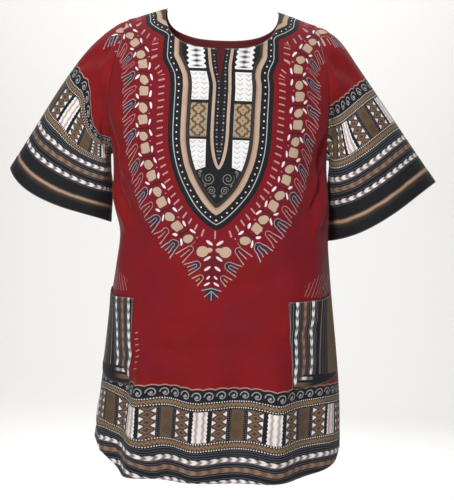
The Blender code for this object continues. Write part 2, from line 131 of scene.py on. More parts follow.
FRONT_FOLDS = in_metres(
    (-140, -800, -132, -620, -10, 26),
    (-94, -800, -90, -590, 15, 23),
    (-53, -800, -56, -630, -9, 21),
    (-12, -800, -10, -600, 12, 21),
    (32, -800, 34, -620, -11, 24),
    (86, -800, 82, -580, 15, 24),
    (148, -800, 140, -620, -10, 30),
    (-215, -240, -120, -400, -7, 22),
    (205, -230, 130, -390, -6, 22),
    (-205, -100, -190, -330, 6, 18),
    (205, -100, 195, -330, 6, 18),
    (-190, -400, -150, -560, 5, 30),
    (190, -400, 160, -560, 5, 30),
)
FRONT_CREASES = in_metres(
    (-236, -270, -176, -340, -8.4, 9),
    (-240, -300, -180, -372, 5.1, 9),
    (-228, -230, -170, -290, 4.5, 9),
    (-232, -100, -206, -270, -10.5, 13),
    (-205, -80, -172, -200, 3.9, 10),
    (236, -265, 180, -335, -8.4, 9),
    (240, -300, 186, -368, 5.1, 9),
    (230, -90, 206, -270, -10.9, 13),
    (205, -70, 172, -190, 3.9, 10),
    (190, -60, 150, -130, -4.6, 9),
    (-165, -640, -110, -632, -4.6, 7),
    (-120, -652, -70, -640, 2.7, 7),
    (-175, -600, -60, -575, -3.4, 12),
    (90, -560, 160, -535, -3.8, 10),
    (60, -600, 150, -585, 2.4, 12),
    (-100, -500, -40, -520, 2.4, 11),
    (20, -470, 90, -455, -2.9, 11),
    (-60, -590, 20, -560, -2.9, 12),
    (10, -530, 70, -560, 1.8, 14),
    (-140, -430, -110, -560, 3.9, 18),
    (135, -430, 110, -560, 3.6, 20),
    (-60, -560, -55, -640, -5.5, 18),
    (35, -560, 32, -650, -5, 20),
)


def ease(value):
    """A smooth step from 0 to 1."""
    value = np.clip(value, 0, 1)
    return value * value * (3 - 2 * value)


def mix(low, high, share):
    return low + (high - low) * share


# Sizes of the neck ornament and of its ring of flowers, in millimetres: half width, where the
# sides begin to close, their point, two powers that round the close, and steps out at the neck
Outline = namedtuple("Outline", "side straight point powers steps top")
YOKE = Outline(76.5, 215, 371, (2.2, 0.8), ((125, 95, 11), (56, 26, 34), (30, -40, 10)), -40)
RING = Outline(129.5, 190, 424, (2.1, 0.74), ((112, -5, 55),), -30)


def outline_from(sizes):
    """Places down one side of a pointed ornament, closer together towards its point."""
    down = mix(sizes.top, sizes.point, 1 - (1 - np.linspace(0, 1, 41)) ** 1.6)
    close = np.maximum(down - sizes.straight, 0) / (sizes.point - sizes.straight)
    out = sizes.side * (1 - close ** sizes.powers[0]) ** sizes.powers[1]
    for low, high, width in sizes.steps:
        out = out + width * ease((low - down) / (low - high))
    return np.stack([out, down], axis=-1)


def rounded(value, power):
    """A signed sine or cosine bent so that it draws a superellipse of that power."""
    return np.sign(value) * np.abs(value) ** (2 / power)


def along(rows, at):
    """Smooth curves through a table's rows, read at these values of its first column."""
    at = np.asarray(at, float)
    index = np.arange(len(rows))
    low, high = np.maximum(index - 1, 0), np.minimum(index + 1, len(rows) - 1)
    slope = (rows[high] - rows[low]) / (rows[high, :1] - rows[low, :1])
    k = np.clip(np.searchsorted(rows[:, 0], at, side="right") - 1, 0, len(rows) - 2)
    a, b = rows[k], rows[k + 1]
    span = b[..., :1] - a[..., :1]
    t = np.clip((at[..., None] - a[..., :1]) / span, 0, 1)
    m, n = slope[k] * span, slope[k + 1] * span
    return a + t * (m + t * (3 * (b - a) - 2 * m - n + t * (m + n - 2 * (b - a))))


def shoulder_height(x):
    """Height of the shoulder seam, level at the neck and then sloping down."""
    out = np.abs(x) - NECK_HALF_WIDTH
    return -SHOULDER_SLOPE * (out + np.hypot(out, SHOULDER_EASE) - SHOULDER_EASE) / 2


def body_point(angle, height, front):
    """Points on the body's cloth at these angles from the middle of the front or back."""
    section = along(BODY, height)
    depth = -section[..., FRONT_DEPTH] if front else section[..., BACK_DEPTH]
    x = section[..., HALF_WIDTH] * rounded(np.sin(angle), BODY_POWER)
    share = np.clip((shoulder_height(x) - height) / SHOULDER_ROUND, 0, 1)
    y = depth * rounded(np.cos(angle), BODY_POWER) * np.sqrt(1 - (1 - share) ** 2)
    turn = np.radians(section[..., TURN])
    return np.stack([
        x * np.cos(turn) - y * np.sin(turn) + section[..., SHIFT_X],
        x * np.sin(turn) + y * np.cos(turn) + section[..., SHIFT_Y],
        height + 0 * x,
    ], axis=-1)


def flat_place(angle, height, front):
    """Millimetres out from the middle and down from the neck, on the cloth laid flat."""
    section = along(BODY, height)
    depth = section[..., FRONT_DEPTH if front else BACK_DEPTH]
    turn = np.abs(angle)[..., None] * np.linspace(0, 1, 25) ** 1.5
    x = section[..., HALF_WIDTH][..., None] * rounded(np.sin(turn), BODY_POWER)
    y = depth[..., None] * rounded(np.cos(turn), BODY_POWER)
    out = np.sum(np.hypot(np.diff(x), np.diff(y)), axis=-1) * np.sign(angle)
    top = shoulder_height(x[..., -1])
    share = np.clip((top - height) / SHOULDER_ROUND, 0, 1)[..., None]
    shares = share + (1 - share) * np.linspace(0, 1, 25) ** 2
    rise = y[..., -1:] * np.sqrt(1 - (1 - shares) ** 2)
    curved = np.sum(np.hypot(np.diff(shares) * SHOULDER_ROUND, np.diff(rise)), axis=-1)
    down = np.where(top - height < SHOULDER_ROUND, SHOULDER_ROUND - top - curved, -height)
    return 1000 * out, 1000 * down


def shoulder_end():
    """Where the shoulder seam meets the armhole, found in steps."""
    height = 0.0
    for _ in range(20):
        out = along(BODY, height)[HALF_WIDTH] * rounded(np.sin(ARMHOLE_TOP), BODY_POWER)
        height = shoulder_height(out)
    return out, height


SHOULDER_OUT, SHOULDER_END = shoulder_end()


def panel_place(column, row, front):
    """Angles and heights of a panel's points. Columns run from -1 to 1, rows from 0 to ROWS."""
    across, side = np.abs(column), np.where(column < 0, -1, 1)
    turn = (1 - np.clip(1 - across / NECK_SHARE, 0, 1) ** NECK_SPREAD) * np.pi / 2
    depth = FRONT_NECK_DEPTH if front else BACK_NECK_DEPTH
    outer = mix(NECK_HALF_WIDTH, SHOULDER_OUT, (across - NECK_SHARE) / (1 - NECK_SHARE))
    at_neck = across < NECK_SHARE
    out = np.where(at_neck, NECK_HALF_WIDTH * rounded(np.sin(turn), NECK_POWER), outer)
    top = np.where(at_neck, -depth * rounded(np.cos(turn), NECK_POWER), shoulder_height(outer))
    even = np.clip(row / ARMHOLE_ROWS, 0, 1)
    bunched = (1 - np.cos(np.pi * even)) / 2
    upper_height = mix(top, UNDERARM, mix(even, bunched, across ** 3))
    limit = mix(math.pi / 2, ARMHOLE_TOP, (1 - bunched ** 2) ** ARMHOLE_CURVE)
    reach = np.clip(out / along(BODY, top)[..., HALF_WIDTH], 0, 1) ** (BODY_POWER / 2)
    upper_angle = side * mix(np.arcsin(reach) / ARMHOLE_TOP, across, ease(even)) * limit
    share = (row - ARMHOLE_ROWS) / (ROWS - ARMHOLE_ROWS)
    hem = -(FRONT_LENGTH if front else BACK_LENGTH) + 0 * across
    swing = 0 * across
    below = ease((row - (ROWS - VENT_ROWS)) / VENT_ROWS)
    for at in (-1, 1):
        lift, power, corner, start, end = HEM_SIDES[(front, at)]
        rise = lift * across ** power + corner * ease((across - start) / (end - start))
        hem = hem + np.where(side == at, rise, 0)
        swing = swing + np.where(side == at, math.radians(VENT_SWING[(front, at)]), 0) * below
    lower = row > ARMHOLE_ROWS
    angle = np.where(lower, column * (math.pi / 2 - swing), upper_angle)
    return angle, np.where(lower, mix(UNDERARM, hem, share), upper_height)


def fold_rise(folds, across, down, ends, unit_down=1.0):
    """Height of the folds' ridges, less the depth of their troughs, at places on the cloth."""
    total = 0
    for fold in folds:
        run = fold.across_to - fold.across_from, (fold.down_to - fold.down_from) * unit_down
        gone = across - fold.across_from, (down - fold.down_from) * unit_down
        length = math.hypot(*run)
        at = (gone[0] * run[0] + gone[1] * run[1]) / length ** 2
        off = (gone[0] * run[1] - gone[1] * run[0]) / length
        fade = ease(at / ends.rise + ends.start) * ease((ends.end - at) / ends.fall)
        total = total + fold.depth * fade * np.exp(-((off / fold.width) ** 2))
    return total


def normals_of(points, wraps=False):
    """Normals of a grid of points. They point out if its rows run down and columns right."""
    if wraps:
        ring = np.concatenate([points[:, -2:-1], points, points[:, 1:2]], axis=1)
        across = (ring[:, 2:] - ring[:, :-2]) / 2
    else:
        across = np.gradient(points, axis=1)
    down = np.gradient(points, axis=0)
    normal = np.cross(down, across)
    return normal / np.maximum(np.linalg.norm(normal, axis=-1, keepdims=True), 1e-12)


def cloth_grid(name, points, maps):
    """A grid whose vertices lie at the points, which run down and to the right outside."""
    rows, columns = points.shape[:2]
    mesh = bmesh.new()
    bmesh.ops.create_grid(mesh, x_segments=columns - 1, y_segments=rows - 1, size=1)
    for vert, place in zip(mesh.verts, points[::-1].reshape(-1, 3)):
        vert.co = place
    data = bpy.data.meshes.new(name)
    mesh.to_mesh(data)
    mesh.free()
    corners = np.empty(len(data.loops), int)
    data.loops.foreach_get("vertex_index", corners)
    for key, (first, second) in maps.items():
        layer = data.uv_layers.new(name=key)
        places = np.stack([first[::-1].ravel(), second[::-1].ravel()], axis=-1)
        layer.data.foreach_set("uv", places[corners].ravel().astype(np.float32))
    return data


def linked_piece(name, mesh):
    """A smooth object in the scene, made from this bmesh."""
    data = bpy.data.meshes.new(name)
    mesh.to_mesh(data)
    mesh.free()
    data.shade_smooth()
    piece = bpy.data.objects.new(name, data)
    bpy.context.scene.collection.objects.link(piece)
    return piece


def sewn(name, grids):
    """One object from several grids, joined where their points meet."""
    mesh = bmesh.new()
    for data in grids:
        mesh.from_mesh(data)
        bpy.data.meshes.remove(data)
    bmesh.ops.remove_doubles(mesh, verts=mesh.verts, dist=0.00002)
    return linked_piece(name, mesh)


def outline_places(outline, out, down):
    """Distance along an outline and outwards from it, for places on the flat cloth."""
    steps = np.concatenate([[0], np.cumsum(np.hypot(*np.diff(outline, axis=0).T))])
    smooth = along(np.column_stack([steps, outline]), np.linspace(0, steps[-1], 260))[:, 1:]
    start, run = smooth[:-1], np.diff(smooth, axis=0)
    length = np.hypot(*run.T)
    before = np.concatenate([[0], np.cumsum(length)[:-1]])
    flat = np.stack([np.abs(out).ravel(), down.ravel()], axis=-1)
    gone = flat[:, None] - start
    at = np.clip(np.sum(gone * run, axis=-1) / length ** 2, 0, 1)
    off = gone - at[..., None] * run
    best = np.argmin(np.sum(off ** 2, axis=-1), axis=1)
    pick = np.arange(len(flat))
    side = run[best, 0] * gone[pick, best, 1] - run[best, 1] * gone[pick, best, 0]
    away = -np.linalg.norm(off[pick, best], axis=-1) * np.sign(side)
    place = before[best] + at[pick, best] * length[best]
    return place.reshape(out.shape), away.reshape(out.shape)


PUFF_HEIGHT, PUFF_REACH = 0.0011, 4.5


def seam_puff(distance):
    """Rise of the cloth beside a seam, which holds it down. The distance is in millimetres."""
    share = np.maximum(distance, 0) / PUFF_REACH
    return PUFF_HEIGHT * share * np.exp(1 - share)


def body_panel(columns, rows, front, folds, creases):
    """Points, outward normals and flat places of a stretch of a panel, with its folds."""
    column, row = np.meshgrid(columns, rows)
    angle, height = panel_place(column, row, front)
    points = body_point(angle, height, front)
    outward = normals_of(points)
    across = angle / (math.pi / 2) * FOLD_WIDTH
    held = 1 - column ** 8
    rise = fold_rise(folds, across, height, LONG_ENDS) * held * ease(row / 6)
    rise = rise + fold_rise(creases, across, height, SHORT_ENDS) * held
    rise = rise + seam_puff((1 - np.abs(column)) * HALF_PANEL)
    rise = rise + seam_puff(row * UPPER_ROW) * (np.abs(column) > NECK_SHARE)
    if not front:
        in_vent = ease((-column - 0.80) / 0.1) * ease((row - ROWS + VENT_ROWS) / 1.5)
        rise = rise - TUCKED_UNDER * in_vent
    rise = rise + HEM_THICKNESS * ease((HEM_ROWS - ROWS + row) / HEM_STEP_ROWS)
    points = points + outward * rise[..., None]
    out, down = flat_place(angle, height, front)
    return points, normals_of(points), out, down


AXIS_SHIFT, SLIT_SPREAD, FAR = 4.7, 0.35, 99


def print_axis(down):
    """How far the print's middle line lies from the panel's, in millimetres."""
    return AXIS_SHIFT * ease((down - 105) / 45) * (1 - ease((down - 310) / 60))


def open_slit(points, columns, rows, side):
    """Parts the two halves of the front above the slit's end, as a narrow V."""
    gap = SLIT_GAP / 2 * np.clip(1 - np.asarray(rows) / SLIT_ROWS, 0, 1)[:, None]
    points[..., 0] += side * gap * np.clip(1 - np.abs(columns) / SLIT_SPREAD, 0, 1)


def edge_places(columns, rows):
    """Millimetres from a panel's hem or neck edge, for the wear along it."""
    column, row = np.meshgrid(columns, rows)
    to_neck = np.where(np.abs(column) < NECK_SHARE, row * UPPER_ROW, FAR)
    return np.minimum((ROWS - row) * LOWER_ROW, to_neck), 0 * row


SWAY_PLACES, SWAY_WIDTH, SWAY_DEPTH = (-0.094, -0.012, 0.086), 0.022, 6.0


def hem_sway(across):
    """How far the border's lines hang below the level at each fold, and rise at the sides."""
    low = sum(np.exp(-(((across - at) / SWAY_WIDTH) ** 2)) for at in SWAY_PLACES)
    right_rise, left_rise = ease((-across - 0.105) / 0.09), ease((across - 0.10) / 0.10)
    return SWAY_DEPTH * low - 2.0 - 15 * right_rise - 7 * left_rise


def front_half(side):
    """Half of the front. One more column past the middle evens the folds there, then goes."""
    columns = np.linspace(-1 / 75, 1, 77)
    columns = columns if side > 0 else -columns[::-1]
    rows = np.concatenate([
        np.linspace(0, SLIT_ROWS, 26),
        np.linspace(SLIT_ROWS, ARMHOLE_ROWS, 46)[1:],
        np.linspace(ARMHOLE_ROWS, ROWS, 136)[1:],
    ])
    points, _, out, down = body_panel(columns, rows, True, FRONT_FOLDS, FRONT_CREASES)
    kept = slice(1, None) if side > 0 else slice(None, -1)
    points, out, down, columns = points[:, kept], out[:, kept], down[:, kept], columns[kept]
    open_slit(points, columns, rows, side)
    column = np.meshgrid(columns, rows)[0]
    down = down - hem_sway(column * FOLD_WIDTH) * ease((down - 560) / 110)
    out = out - print_axis(down)
    return cloth_grid("half", points, {
        "cut": (out, down),
        "yoke": outline_places(outline_from(YOKE), out, down),
        "ring": outline_places(outline_from(RING), out, down),
        "edge": edge_places(columns, rows),
    })


def new_node(tree, kind, **values):
    """A shader node, with its inputs linked to fields and sockets or set to numbers.

    An input is given by its name, or by an underscore and its number.
    """
    node = tree.nodes.new("ShaderNode" + kind)
    for key, value in values.items():
        slot = node.inputs[int(key[1:]) if key[0] == "_" else key.replace("_", " ")]
        value = getattr(value, "socket", value)
        if isinstance(value, bpy.types.NodeSocket):
            tree.links.new(value, slot)
        else:
            slot.default_value = value
    return node


class Field:
    """A number that shader nodes work out on the cloth, used with plain arithmetic."""

    def __init__(self, tree, socket):
        self.tree, self.socket = tree, socket

    def worked(self, kind, *others):
        inputs = {f"_{k}": value for k, value in enumerate((self, *others))}
        node = new_node(self.tree, "Math", **inputs)
        node.operation = kind
        return Field(self.tree, node.outputs[0])

    __add__ = __radd__ = partialmethod(worked, "ADD")
    __sub__ = partialmethod(worked, "SUBTRACT")
    __rsub__ = partialmethod(worked, "MULTIPLY_ADD", -1.0)
    __mul__ = __rmul__ = partialmethod(worked, "MULTIPLY")
    __truediv__ = partialmethod(worked, "DIVIDE")
    __abs__ = partialmethod(worked, "ABSOLUTE")
    __lt__ = partialmethod(worked, "LESS_THAN")
    __gt__ = partialmethod(worked, "GREATER_THAN")
    __and__ = partialmethod(worked, "MINIMUM")
    __or__ = partialmethod(worked, "MAXIMUM")

    def between(self, low, high):
        """1 between these values and 0 elsewhere."""
        return self.worked("COMPARE", (low + high) / 2, (high - low) / 2)

    def repeated(self, period):
        """The place within one repeat, from minus to plus half the period."""
        return self.worked("WRAP", period / 2, -period / 2)

    def waves(self, period):
        """A sine along the cloth, from -1 to 1."""
        return (self * (2 * math.pi / period)).worked("SINE")

    def zigzag(self, period):
        """A triangle wave from -1 to 1."""
        return abs(self.repeated(period)).worked("MULTIPLY_ADD", 4 / period, -1.0)

    def fade(self, low, high):
        """0 at low, 1 at high and straight between."""
        node = new_node(self.tree, "MapRange", Value=self, From_Min=low, From_Max=high)
        return Field(self.tree, node.outputs[0])


class Spot:
    """A place in a frame of the print, in millimetres."""

    def __init__(self, x, y):
        self.tree = x.tree
        self.socket = new_node(self.tree, "CombineXYZ", _0=x, _1=y).outputs[0]

    def oval(self, middle, size, degrees=0):
        """Distance from the middle of a turned oval, as a share of its size."""
        frame = new_node(self.tree, "Mapping", Vector=self, Location=(*middle, 0),
                         Rotation=(0, 0, math.radians(degrees)), Scale=(*size, 1))
        frame.vector_type = "TEXTURE"
        length = new_node(self.tree, "VectorMath", _0=frame.outputs[0])
        length.operation = "LENGTH"
        return Field(self.tree, length.outputs["Value"])

    def distance(self):
        """Millimetres from the frame's middle."""
        return self.oval((0, 0), (1, 1))


def linear(*colour):
    """A colour of the shader from its eight-bit screen values."""
    shares = [value / 255 for value in colour]
    return (*[s / 12.92 if s <= 0.04045 else ((s + 0.055) / 1.055) ** 2.4 for s in shares], 1)


RED = linear(124, 5, 14)
CHARCOAL = linear(21, 22, 27)
TAN = linear(190, 163, 141)
BROWN = linear(108, 84, 70)
OLIVE = linear(92, 74, 54)
WHITE = linear(232, 230, 230)
NAVY = linear(42, 34, 52)
PINK = linear(188, 142, 142)
SILVER = linear(158, 155, 158)
UMBER = linear(44, 36, 32)
BUD_EDGE = linear(92, 24, 30)
SCROLL_GREY = linear(120, 118, 112)


WEAVE = 0.72
ROUGHNESS = 0.82


class Cloth:
    """A material of printed plain-woven cotton, whose colours are painted on one by one."""

    def __init__(self, name, colour):
        self.material = bpy.data.materials.new(name)
        self.material.use_nodes = True
        self.tree = self.material.node_tree
        self.shader = self.tree.nodes["Principled BSDF"]
        self.colour = new_node(self.tree, "RGB").outputs[0]
        self.colour.default_value = colour

    def two_fields(self, socket):
        """The first two numbers of a socket."""
        parts = new_node(self.tree, "SeparateXYZ", _0=socket)
        return Field(self.tree, parts.outputs[0]), Field(self.tree, parts.outputs[1])

    def places(self, key):
        """The two numbers of a UV map."""
        source = new_node(self.tree, "UVMap")
        source.uv_map = key
        return self.two_fields(source.outputs[0])

    def noise(self, size, detail):
        """Two soft random fields from 0 to 1, whose patches are about this many millimetres."""
        place = new_node(self.tree, "TexCoord").outputs["Object"]
        noise = new_node(self.tree, "TexNoise", Vector=place, Scale=1000 / size, Detail=detail)
        return self.two_fields(noise.outputs["Color"])

    def paint(self, mask, colour, blend="MIX"):
        """Lays a colour, or another socket's colours, over the last ones where the mask is 1."""
        mixed = self.tree.nodes.new("ShaderNodeMix")
        mixed.data_type, mixed.blend_type = "RGBA", blend
        sockets = [slot for slot in mixed.inputs if slot.enabled]
        for slot, value in zip(sockets, (mask, self.colour, colour)):
            value = value.socket if isinstance(value, Field) else value
            if isinstance(value, bpy.types.NodeSocket):
                self.tree.links.new(value, slot)
            else:
                slot.default_value = value
        self.colour = next(slot for slot in mixed.outputs if slot.enabled)

    def stripes(self, place, layout):
        """Colours of bands that start at these places, from a constant ramp."""
        low, high = layout[0][0], layout[-1][0] + 1
        ramp = self.tree.nodes.new("ShaderNodeValToRGB")
        ramp.color_ramp.interpolation = "CONSTANT"
        points = ramp.color_ramp.elements
        while len(points) < len(layout):
            points.new(1.0)
        for point, (start, colour) in zip(points, layout):
            point.position = (start - low) / (high - low)
            point.color = colour
        self.tree.links.new(place.fade(low, high).socket, ramp.inputs[0])
        return ramp.outputs[0]

    def finish(self, across, down, edge=None):
        """Uneven dye, rubbed off along the edges, the weave's relief and the cotton's sheen."""
        patches, blotches = self.noise(45, 3)
        self.paint(patches.fade(0.35, 0.75) * 0.22, linear(150, 130, 130), "MULTIPLY")
        threads, _ = self.noise(1.3, 2)
        self.paint(threads.fade(0.3, 0.7) * 0.18, linear(120, 116, 116), "MULTIPLY")
        if edge is not None:
            rubbed = (1.0 - edge.fade(0.3, 2.4)) * threads.fade(0.35, 0.6) * 0.6
            self.paint(rubbed, linear(158, 138, 130))
        weave = across.waves(WEAVE) * down.waves(WEAVE)
        self.connect(weave * 0.5 + threads, 0.35, 0.00022, blotches * 0.12 + (ROUGHNESS - 0.06))
        self.shader.inputs["Sheen Weight"].default_value = 0.06
        self.shader.inputs["Sheen Roughness"].default_value = 0.45
        self.shader.inputs["Specular IOR Level"].default_value = 0.25
        return self.material

    def connect(self, relief, strength, distance, rough):
        """Gives the shader its colour, its relief and its roughness."""
        bump = new_node(self.tree, "Bump", Strength=strength, Distance=distance, Height=relief)
        for name, socket in (
            ("Base Color", self.colour), ("Normal", bump.outputs[0]), ("Roughness", rough.socket),
        ):
            self.tree.links.new(socket, self.shader.inputs[name])


def made_up(piece, materials, reverse):
    """Gives the cloth its thickness and its paler reverse side."""
    for material in (*materials, *[reverse] * len(materials)):
        piece.data.materials.append(material)
    wall = piece.modifiers.new("cloth", "SOLIDIFY")
    wall.thickness = CLOTH
    wall.offset = 0
    wall.use_rim = True
    wall.use_even_offset = True
    wall.material_offset = len(materials)
    return piece


# Bands of the border, in millimetres down from its scalloped top line
ASH = linear(134, 114, 110)
BORDER = (
    (0, RED), (1, CHARCOAL), (22, BROWN), (33, CHARCOAL), (35, BROWN), (85, CHARCOAL),
    (87, BROWN), (97, CHARCOAL), (112, ASH), (119, CHARCOAL), (128, BROWN), (135, CHARCOAL),
    (147, ASH), (153.5, CHARCOAL), (300, CHARCOAL),
)
BORDER_TOP = 632
BORDER_ARROWS = (
    # from, to, the arrows' step and their colour
    (112, 119, 15.5, WHITE),
    (128, 135, 17, linear(140, 112, 92)),
    (147, 153.5, 15.5, WHITE),
)
BORDER_LINES = (101.5, 105.5, 109.5, 121.5, 125.5, 137.5, 144.5, 156.2)
PANEL_STEP, PANEL_MIDDLE, DIAMOND = 117, 60, 12.2


def paint_scroll_line(cloth, across, fall, pitch):
    """Scrolls side by side under a scalloped line."""
    step = across.repeated(pitch)
    scallop = fall - step * step * 0.022
    cloth.paint(scallop.between(-1.1, 0.8), linear(178, 130, 120))
    cloth.paint((fall < 4) & (scallop > 0.8), CHARCOAL)
    below = fall - 12.5
    turn = below.worked("ARCTAN2", step) * (2.5 / math.pi)
    reach = Spot(step, below).distance()
    curl = (reach + turn).between(4.65, 6.35) | (reach < 2.2)
    cloth.paint(curl & fall.between(3.5, 21.5), SILVER)


def paint_zigzags(cloth, across, fall, low, high):
    """A band with two zigzag lines in it and beads along both edges."""
    middle = (low + high) / 2
    cloth.paint(fall.between(low, high), linear(92, 72, 54))
    for shift in (-1.1, 1.1):
        line = (fall - middle - shift - across.zigzag(7) * 1.8).between(-0.5, 0.5)
        cloth.paint(line & fall.between(low + 2, high - 2), linear(158, 128, 96))
    past_edge = abs(fall - middle) - (high - low) / 2
    cloth.paint(past_edge.between(-1.6, 1.6), CHARCOAL)
    cloth.paint(Spot(across.repeated(4.0), past_edge).distance() < 1.0, WHITE)


def paint_panel(cloth, across, fall, centre):
    """Upright blocks: waved white, brown with diamonds between rows of teeth, and olive."""
    panel = fall.between(35.5, 84.5)
    x = abs((across - centre).repeated(PANEL_STEP))
    cloth.paint(panel & (x < 48), CHARCOAL)
    wave = (1.0 - abs(x - 5.4 - fall.waves(12) * 0.7).fade(0.8, 3.4)) * 0.9
    cloth.paint(panel & (x < 11.3 + fall.waves(6.2) * 0.6), WHITE)
    cloth.paint(panel & wave, linear(178, 146, 136))
    beside = abs(x - 29.5)
    cloth.paint(panel & (beside < 12), BROWN)
    lattice = beside / 10.5 + abs((fall - PANEL_MIDDLE).repeated(DIAMOND)) * (2 / DIAMOND)
    within = panel & (beside < 11)
    for low, high, colour in (
        (0.84, 1.0, UMBER), (0.58, 0.84, linear(140, 112, 86)), (0.42, 0.58, UMBER),
    ):
        cloth.paint(within & lattice.between(low, high), colour)
    cloth.paint(panel & (lattice < 0.26), linear(66, 26, 22))
    tooth = abs((fall - PANEL_MIDDLE - DIAMOND / 2).repeated(DIAMOND)) + (10.6 - beside) * 0.62
    for size, width, colour in ((4.9, 11.6, CHARCOAL), (3.7, 11.2, WHITE)):
        cloth.paint(panel & (tooth < size) & (beside < width), colour)
    cloth.paint(panel & (x > 48.5), OLIVE)
    rosette = Spot(PANEL_STEP / 2 - x, abs(fall - PANEL_MIDDLE) - 12.4).distance()
    petals = (rosette.between(5.2, 6.6) | rosette.between(1.5, 3.0)) & panel
    cloth.paint(petals * 0.6, linear(66, 44, 36))
    specks = Spot(abs(x - 44.7) - 1.6, fall.repeated(3.4)).distance() < 0.55
    cloth.paint(panel & specks * 0.7, SILVER)


def paint_arrows(cloth, along_band, fall, bands, lean, blur):
    """Ikat bands, whose dye has run into rows of soft arrows."""
    for low, high, step, colour in bands:
        arrow = (along_band + abs(fall - (low + high) / 2) * lean).repeated(step)
        cloth.paint((1.0 - abs(arrow).fade(2.2, blur)) & fall.between(low, high), colour)


def paint_lines(cloth, fall, middles, colour):
    """Thin lines along the bands."""
    for middle in middles:
        cloth.paint(fall.between(middle - 0.4, middle + 0.4), colour)


def paint_border(cloth, across, fall, centre, pitch=19):
    """The whole border, from its scalloped line down to the hem."""
    cloth.paint(fall > 0, cloth.stripes(fall, BORDER))
    paint_scroll_line(cloth, across, fall, pitch)
    for low, high in ((22, 32.5), (86.5, 98)):
        paint_zigzags(cloth, across, fall, low, high)
    paint_panel(cloth, across, fall, centre)
    paint_arrows(cloth, across, fall, BORDER_ARROWS, 1.1, 6.0)
    paint_lines(cloth, fall, BORDER_LINES, linear(88, 92, 102))


def paint_sprig(cloth, x, y, fill, line, length, flare, reach, within=1.0):
    """Nested fingers: a rounded outline open at its far end, and a middle finger inside it."""
    narrow = x / (y * flare + 1.0)
    bend = Spot(narrow, y & reach).oval((0, reach), (1, 1))
    finger = Spot(narrow, y & (reach + 2.6)).oval((0, reach + 2.6), (1, 1))
    open_end = (y < length + abs(narrow) * 0.8) & (y > -1) & within
    cloth.paint((bend < reach) & open_end & ((1.0 - y.fade(length - 11, length + 3)) * 0.9), fill)
    inner = finger.between(1.5, 2.4) if reach > 5 else (abs(narrow) < 0.5) & (y > 6)
    cloth.paint((bend.between(reach - 0.85, reach + 0.15) | inner) & open_end, line)


def paint_sprigs(cloth, across, down, sprigs):
    """Sprigs that start at these places and point this way."""
    for (x, y), (right, low), length, flare, reach, fill, line in sprigs:
        beside = (across - x) * low - (down - y) * right
        ahead = (across - x) * right + (down - y) * low
        paint_sprig(cloth, beside, ahead, fill, line, length, flare, reach)


def paint_petals(cloth, spot, petals, colour, within=1.0):
    """Turned ovals, each with its middle, its half sizes and its turn in degrees."""
    for middle, size, degrees in petals:
        cloth.paint((spot.oval(middle, size, degrees) < 1) & within, colour)


# Millimetres along the ring: its whole length, a flower's step and shift, and where the buds
# and the sprigs end before its foot
RING_LENGTH, FLOWER_STEP, FLOWER_SHIFT, BUDS_END, SPRIGS_END = 517, 46.87, 21, -43, -52
DASH_STEP = 11.3


def paint_ring(cloth, along_ring, off, uneven):
    """Ring of flowers: sprigs outside, then buds with their stems, then petals."""
    ring = along_ring < BUDS_END
    lean = (off - 18) * (1.0 - along_ring.fade(-200, -110)) * 0.62
    for shift, fill, line, reach in (
        (-20.0, linear(108, 16, 26), PINK, 4.8), (3.5, NAVY, SILVER, 6.2),
    ):
        beside = (along_ring + FLOWER_SHIFT - lean - shift).repeated(FLOWER_STEP)
        within = along_ring < SPRIGS_END
        paint_sprig(cloth, beside, off - 15.5, fill, line, 24.0, 0.028, reach, within)
    x = (along_ring + FLOWER_SHIFT).repeated(FLOWER_STEP)
    at = Spot(x, off)
    squared = Spot(cubed(x + 14.6), cubed(off - 0.6)).distance() / 500
    big = squared | (x * 0.45 + off + 9.6) / 15.0
    big = big & at.oval((-17.0, 4.4), (5.6, 4.8))
    small = at.oval((13.4, 0.6), (8.8, 7.0), -42) | ((x - off * 0.5 - 14.3) / 7.5)
    buds = (big & small) + uneven * 0.05
    cloth.paint((buds < 1.26) & ring, BUD_EDGE)
    stem = (x + off * 0.12).between(-1.5, 1.5) & off.between(-14, 12)
    cloth.paint(stem & ring, linear(70, 18, 26))
    cloth.paint((buds < 1.0) & ring, TAN)
    paint_petals(cloth, at, (
        ((-9.8, -11.4), (5.4, 1.9), 14), ((9.2, -13.0), (5.8, 2.0), -16),
        ((-6.2, 12.2), (4.4, 2.0), -40), ((8.4, 12.0), (5.8, 1.8), 46),
    ), linear(238, 224, 226), ring)
    paint_petals(cloth, at, (((23.4, -11.5), (2.0, 1.4), 0),), PINK, ring)


def cubed(x):
    """The cube of a place's distance, which turns a circle into a rounded square."""
    return abs(x * x * x)


